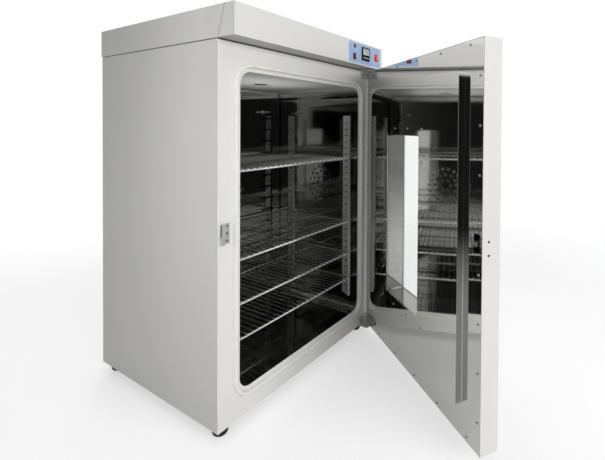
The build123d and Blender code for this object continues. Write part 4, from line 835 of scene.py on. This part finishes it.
mark_height = 0.00008
key_marks = {
    "set_button": (0.2155, rounded_loop(0.0022, 0.0022, 0.0010)),
    "shift_button": (0.2255, [(0.0010, 0.0011), (-0.0010, 0.0), (0.0010, -0.0011)]),
    "down_button": (0.2355, [(-0.0012, 0.0007), (0.0, -0.0009), (0.0012, 0.0007)]),
    "up_button": (0.2455, [(-0.0012, -0.0007), (0.0, 0.0009), (0.0012, -0.0007)]),
}
for body, (x, mark) in key_marks.items():
    drawn = placed(strip(mark, 0.0005, mark_height), on_panel(x, 1.0585, key_y))
    piece(body.replace("button", "key_mark"), drawn, body, ink)

# On and off marks on the rockers: their upper halves stand upright, the lower ones lean out
lean = math.radians(18)
down_slope = Vector((0, -math.sin(lean), -math.cos(lean)))
leaning = Matrix((
    (1, 0, 0, 0), (0, math.sin(lean), -math.cos(lean), 0), (0, math.cos(lean), math.sin(lean), 0),
    (0, 0, 0, 1),
))
rockers = {
    "power_rocker": (0.3015, panel_z, 7.6, 4.4, 0.0006),
    "light_rocker": (0.1615, 1.057, 4.6, 2.6, 0.0004),
}
for body, (x, z, half, size, line) in rockers.items():
    ridge = Vector((x, rocker_y, z + 0.000156))
    upper = Matrix.Translation(ridge + upward * half * mm) @ panel_turn
    lower = Matrix.Translation(ridge + down_slope * half * mm) @ leaning
    bar = strip([(0, -size / 2 * mm), (0, size / 2 * mm)], line, mark_height)
    loop = strip(rounded_loop(size * mm, size * mm, size / 2.05 * mm), line, mark_height)
    marks = joined([placed(bar, upper), placed(loop, lower)])
    piece(body + "_marks", marks, body, label_print)

# Camera, light and stage
# The camera fitted to the photo: its angles, its place, and the middle of its lens in the picture
yaw, pitch, roll = math.radians(58.45), math.radians(-0.83), math.radians(0.42)
camera_place = (-0.9852, -1.1340, 0.8127)
picture_width, picture_height, focal_pixels = 605, 460, 393.1
lens_x, lens_y = 372.2, 131.4
sensor = 27.0
flat_ahead = Vector((math.sin(yaw), math.cos(yaw), 0))
ahead = flat_ahead * math.cos(pitch) + upward * math.sin(pitch)
right = Vector((math.cos(yaw), -math.sin(yaw), 0))
up = right.cross(ahead)
level = right * math.cos(roll) + up * math.sin(roll)
above = up * math.cos(roll) - right * math.sin(roll)
camera_data = bpy.data.cameras.new("camera")
camera = bpy.data.objects.new("camera", camera_data)
scene.collection.objects.link(camera)
camera_turn = Matrix((level, above, -ahead)).transposed().to_4x4()
camera.matrix_world = Matrix.Translation(camera_place) @ camera_turn
camera_data.sensor_fit = "VERTICAL"
camera_data.sensor_height = camera_data.sensor_width = sensor
camera_data.lens = sensor * focal_pixels / picture_height
camera_data.shift_x = (picture_width / 2 - lens_x) / picture_height
camera_data.shift_y = (lens_y - picture_height / 2) / picture_height
camera_data.clip_start = 0.02
scene.camera = camera


def lamp(name, place, target, size, energy):
    """A soft rectangular lamp that camera, mirrors and glass don't see."""
    data = bpy.data.lights.new(name, "AREA")
    data.shape = "RECTANGLE"
    data.size, data.size_y = size
    data.energy = energy
    made = bpy.data.objects.new(name, data)
    made.matrix_world = lay(place, Vector(place) - Vector(target))
    made.visible_camera = made.visible_glossy = made.visible_transmission = False
    scene.collection.objects.link(made)
    return made


lamp("key_lamp", (-0.7, -4.0, 1.3), (0, -0.2, 0.75), (3.2, 1.4), 106.0)
fill_lamp = lamp("fill_lamp", (-0.94, -0.34, 0.78), (-0.35, -0.27, 0.62), (0.3, 1.15), 0.85)
fill_lamp.data.spread = math.radians(110)
lamp("rear_lamp", (1.7, 3.4, 1.5), (0.1, 0.1, 0.6), (2.4, 1.6), 62.0)
lamp("top_lamp", (0.1, 0.3, 3.2), (0.1, 0.2, 1.1), (1.6, 1.2), 13.0)
lamp("chamber_lamp", (-0.06, -0.12, 0.83), (-0.06, -0.12, 0.95), (0.34, 0.22), 0.42)
ceiling_lamp = lamp("ceiling_lamp", (-0.5, -1.7, 2.7), (0, -0.2, 0.6), (1.6, 0.5), 4.0)
ceiling_lamp.visible_glossy = True


def smooth(made, value, low, high, start, stop):
    """As spread, with a soft start and end."""
    result = spread(made, value, low, high, start, stop)
    result.node.interpolation_type = "SMOOTHSTEP"
    return result


def paths(made):
    """What kind of ray it is, for the world or a material."""
    return made.node_tree.nodes.new("ShaderNodeLightPath").outputs


def mixed(made, factor, first, second):
    """One shader or another by a factor."""
    tree = made.node_tree
    blend = tree.nodes.new("ShaderNodeMixShader")
    for value, socket in zip((factor, first, second), blend.inputs):
        tree.links.new(value, socket)
    return blend.outputs[0]


def glow(made, strength):
    """A white background with a number or a value as its strength."""
    shader = made.node_tree.nodes.new("ShaderNodeBackground")
    shader.inputs["Color"].default_value = (1, 1, 1, 1)
    if isinstance(strength, float):
        shader.inputs["Strength"].default_value = strength
    else:
        made.node_tree.links.new(strength, shader.inputs["Strength"])
    return shader.outputs[0]


def finished(made, kind, shader):
    """Ends a node tree in its output."""
    output = made.node_tree.nodes.new(kind)
    made.node_tree.links.new(shader, output.inputs["Surface"])


# White to the camera and through glass; to polished metal a room that is bright only at the back
world = bpy.data.worlds.new("studio")
world.use_nodes = True
world.node_tree.nodes.clear()
scene.world = world
path = paths(world)
direction = world.node_tree.nodes.new("ShaderNodeTexCoord")
axes = world.node_tree.nodes.new("ShaderNodeSeparateXYZ")
world.node_tree.links.new(direction.outputs["Generated"], axes.inputs[0])
room = glow(world, smooth(world, axes.outputs["Y"], 0.02, 0.85, -0.35, 0.45))
lit = mixed(world, path["Is Glossy Ray"], glow(world, 0.23), room)
lit = mixed(world, path["Is Transmission Ray"], lit, glow(world, 1.0))
lit = mixed(world, path["Is Camera Ray"], lit, glow(world, 1.0))
finished(world, "ShaderNodeOutputWorld", lit)

# A pale floor that keeps the shadow and fades into the background
floor_mesh = bpy.data.meshes.new("floor")
floor_half = 6.0
floor_corners = [(-1, -1), (1, -1), (1, 1), (-1, 1)]
floor_mesh.from_pydata(
    [(x * floor_half, y * floor_half, 0) for x, y in floor_corners], [], [[0, 1, 2, 3]]
)
floor = bpy.data.objects.new("floor", floor_mesh)
scene.collection.objects.link(floor)
floor_skin = bpy.data.materials.new("floor")
floor_skin.use_nodes = True
tree = floor_skin.node_tree
tree.nodes.clear()
path = paths(floor_skin)
where = tree.nodes.new("ShaderNodeTexCoord")
distance = tree.nodes.new("ShaderNodeVectorMath")
distance.operation = "LENGTH"
tree.links.new(where.outputs["Object"], distance.inputs[0])
edge = smooth(floor_skin, distance.outputs["Value"], 0.0, 1.0, 1.1, 2.6)
pale = tree.nodes.new("ShaderNodeBsdfDiffuse")
pale.inputs["Color"].default_value = (0.66, 0.66, 0.66, 1)
seen = reckon(floor_skin, "ADD", path["Is Camera Ray"], path["Is Transmission Ray"], clamp=True)
mirrored = reckon(floor_skin, "MULTIPLY", path["Is Glossy Ray"], 0.35)
seen = reckon(floor_skin, "ADD", seen, mirrored, clamp=True)
shine = tree.nodes.new("ShaderNodeEmission")
tree.links.new(reckon(floor_skin, "MULTIPLY", seen, 0.5), shine.inputs["Strength"])
bright = tree.nodes.new("ShaderNodeAddShader")
tree.links.new(pale.outputs[0], bright.inputs[0])
tree.links.new(shine.outputs[0], bright.inputs[1])
clear = tree.nodes.new("ShaderNodeBsdfTransparent")
result = mixed(floor_skin, edge, bright.outputs[0], clear.outputs[0])
finished(floor_skin, "ShaderNodeOutputMaterial", result)
floor_mesh.materials.append(floor_skin)

scene.view_settings.view_transform = "Standard"
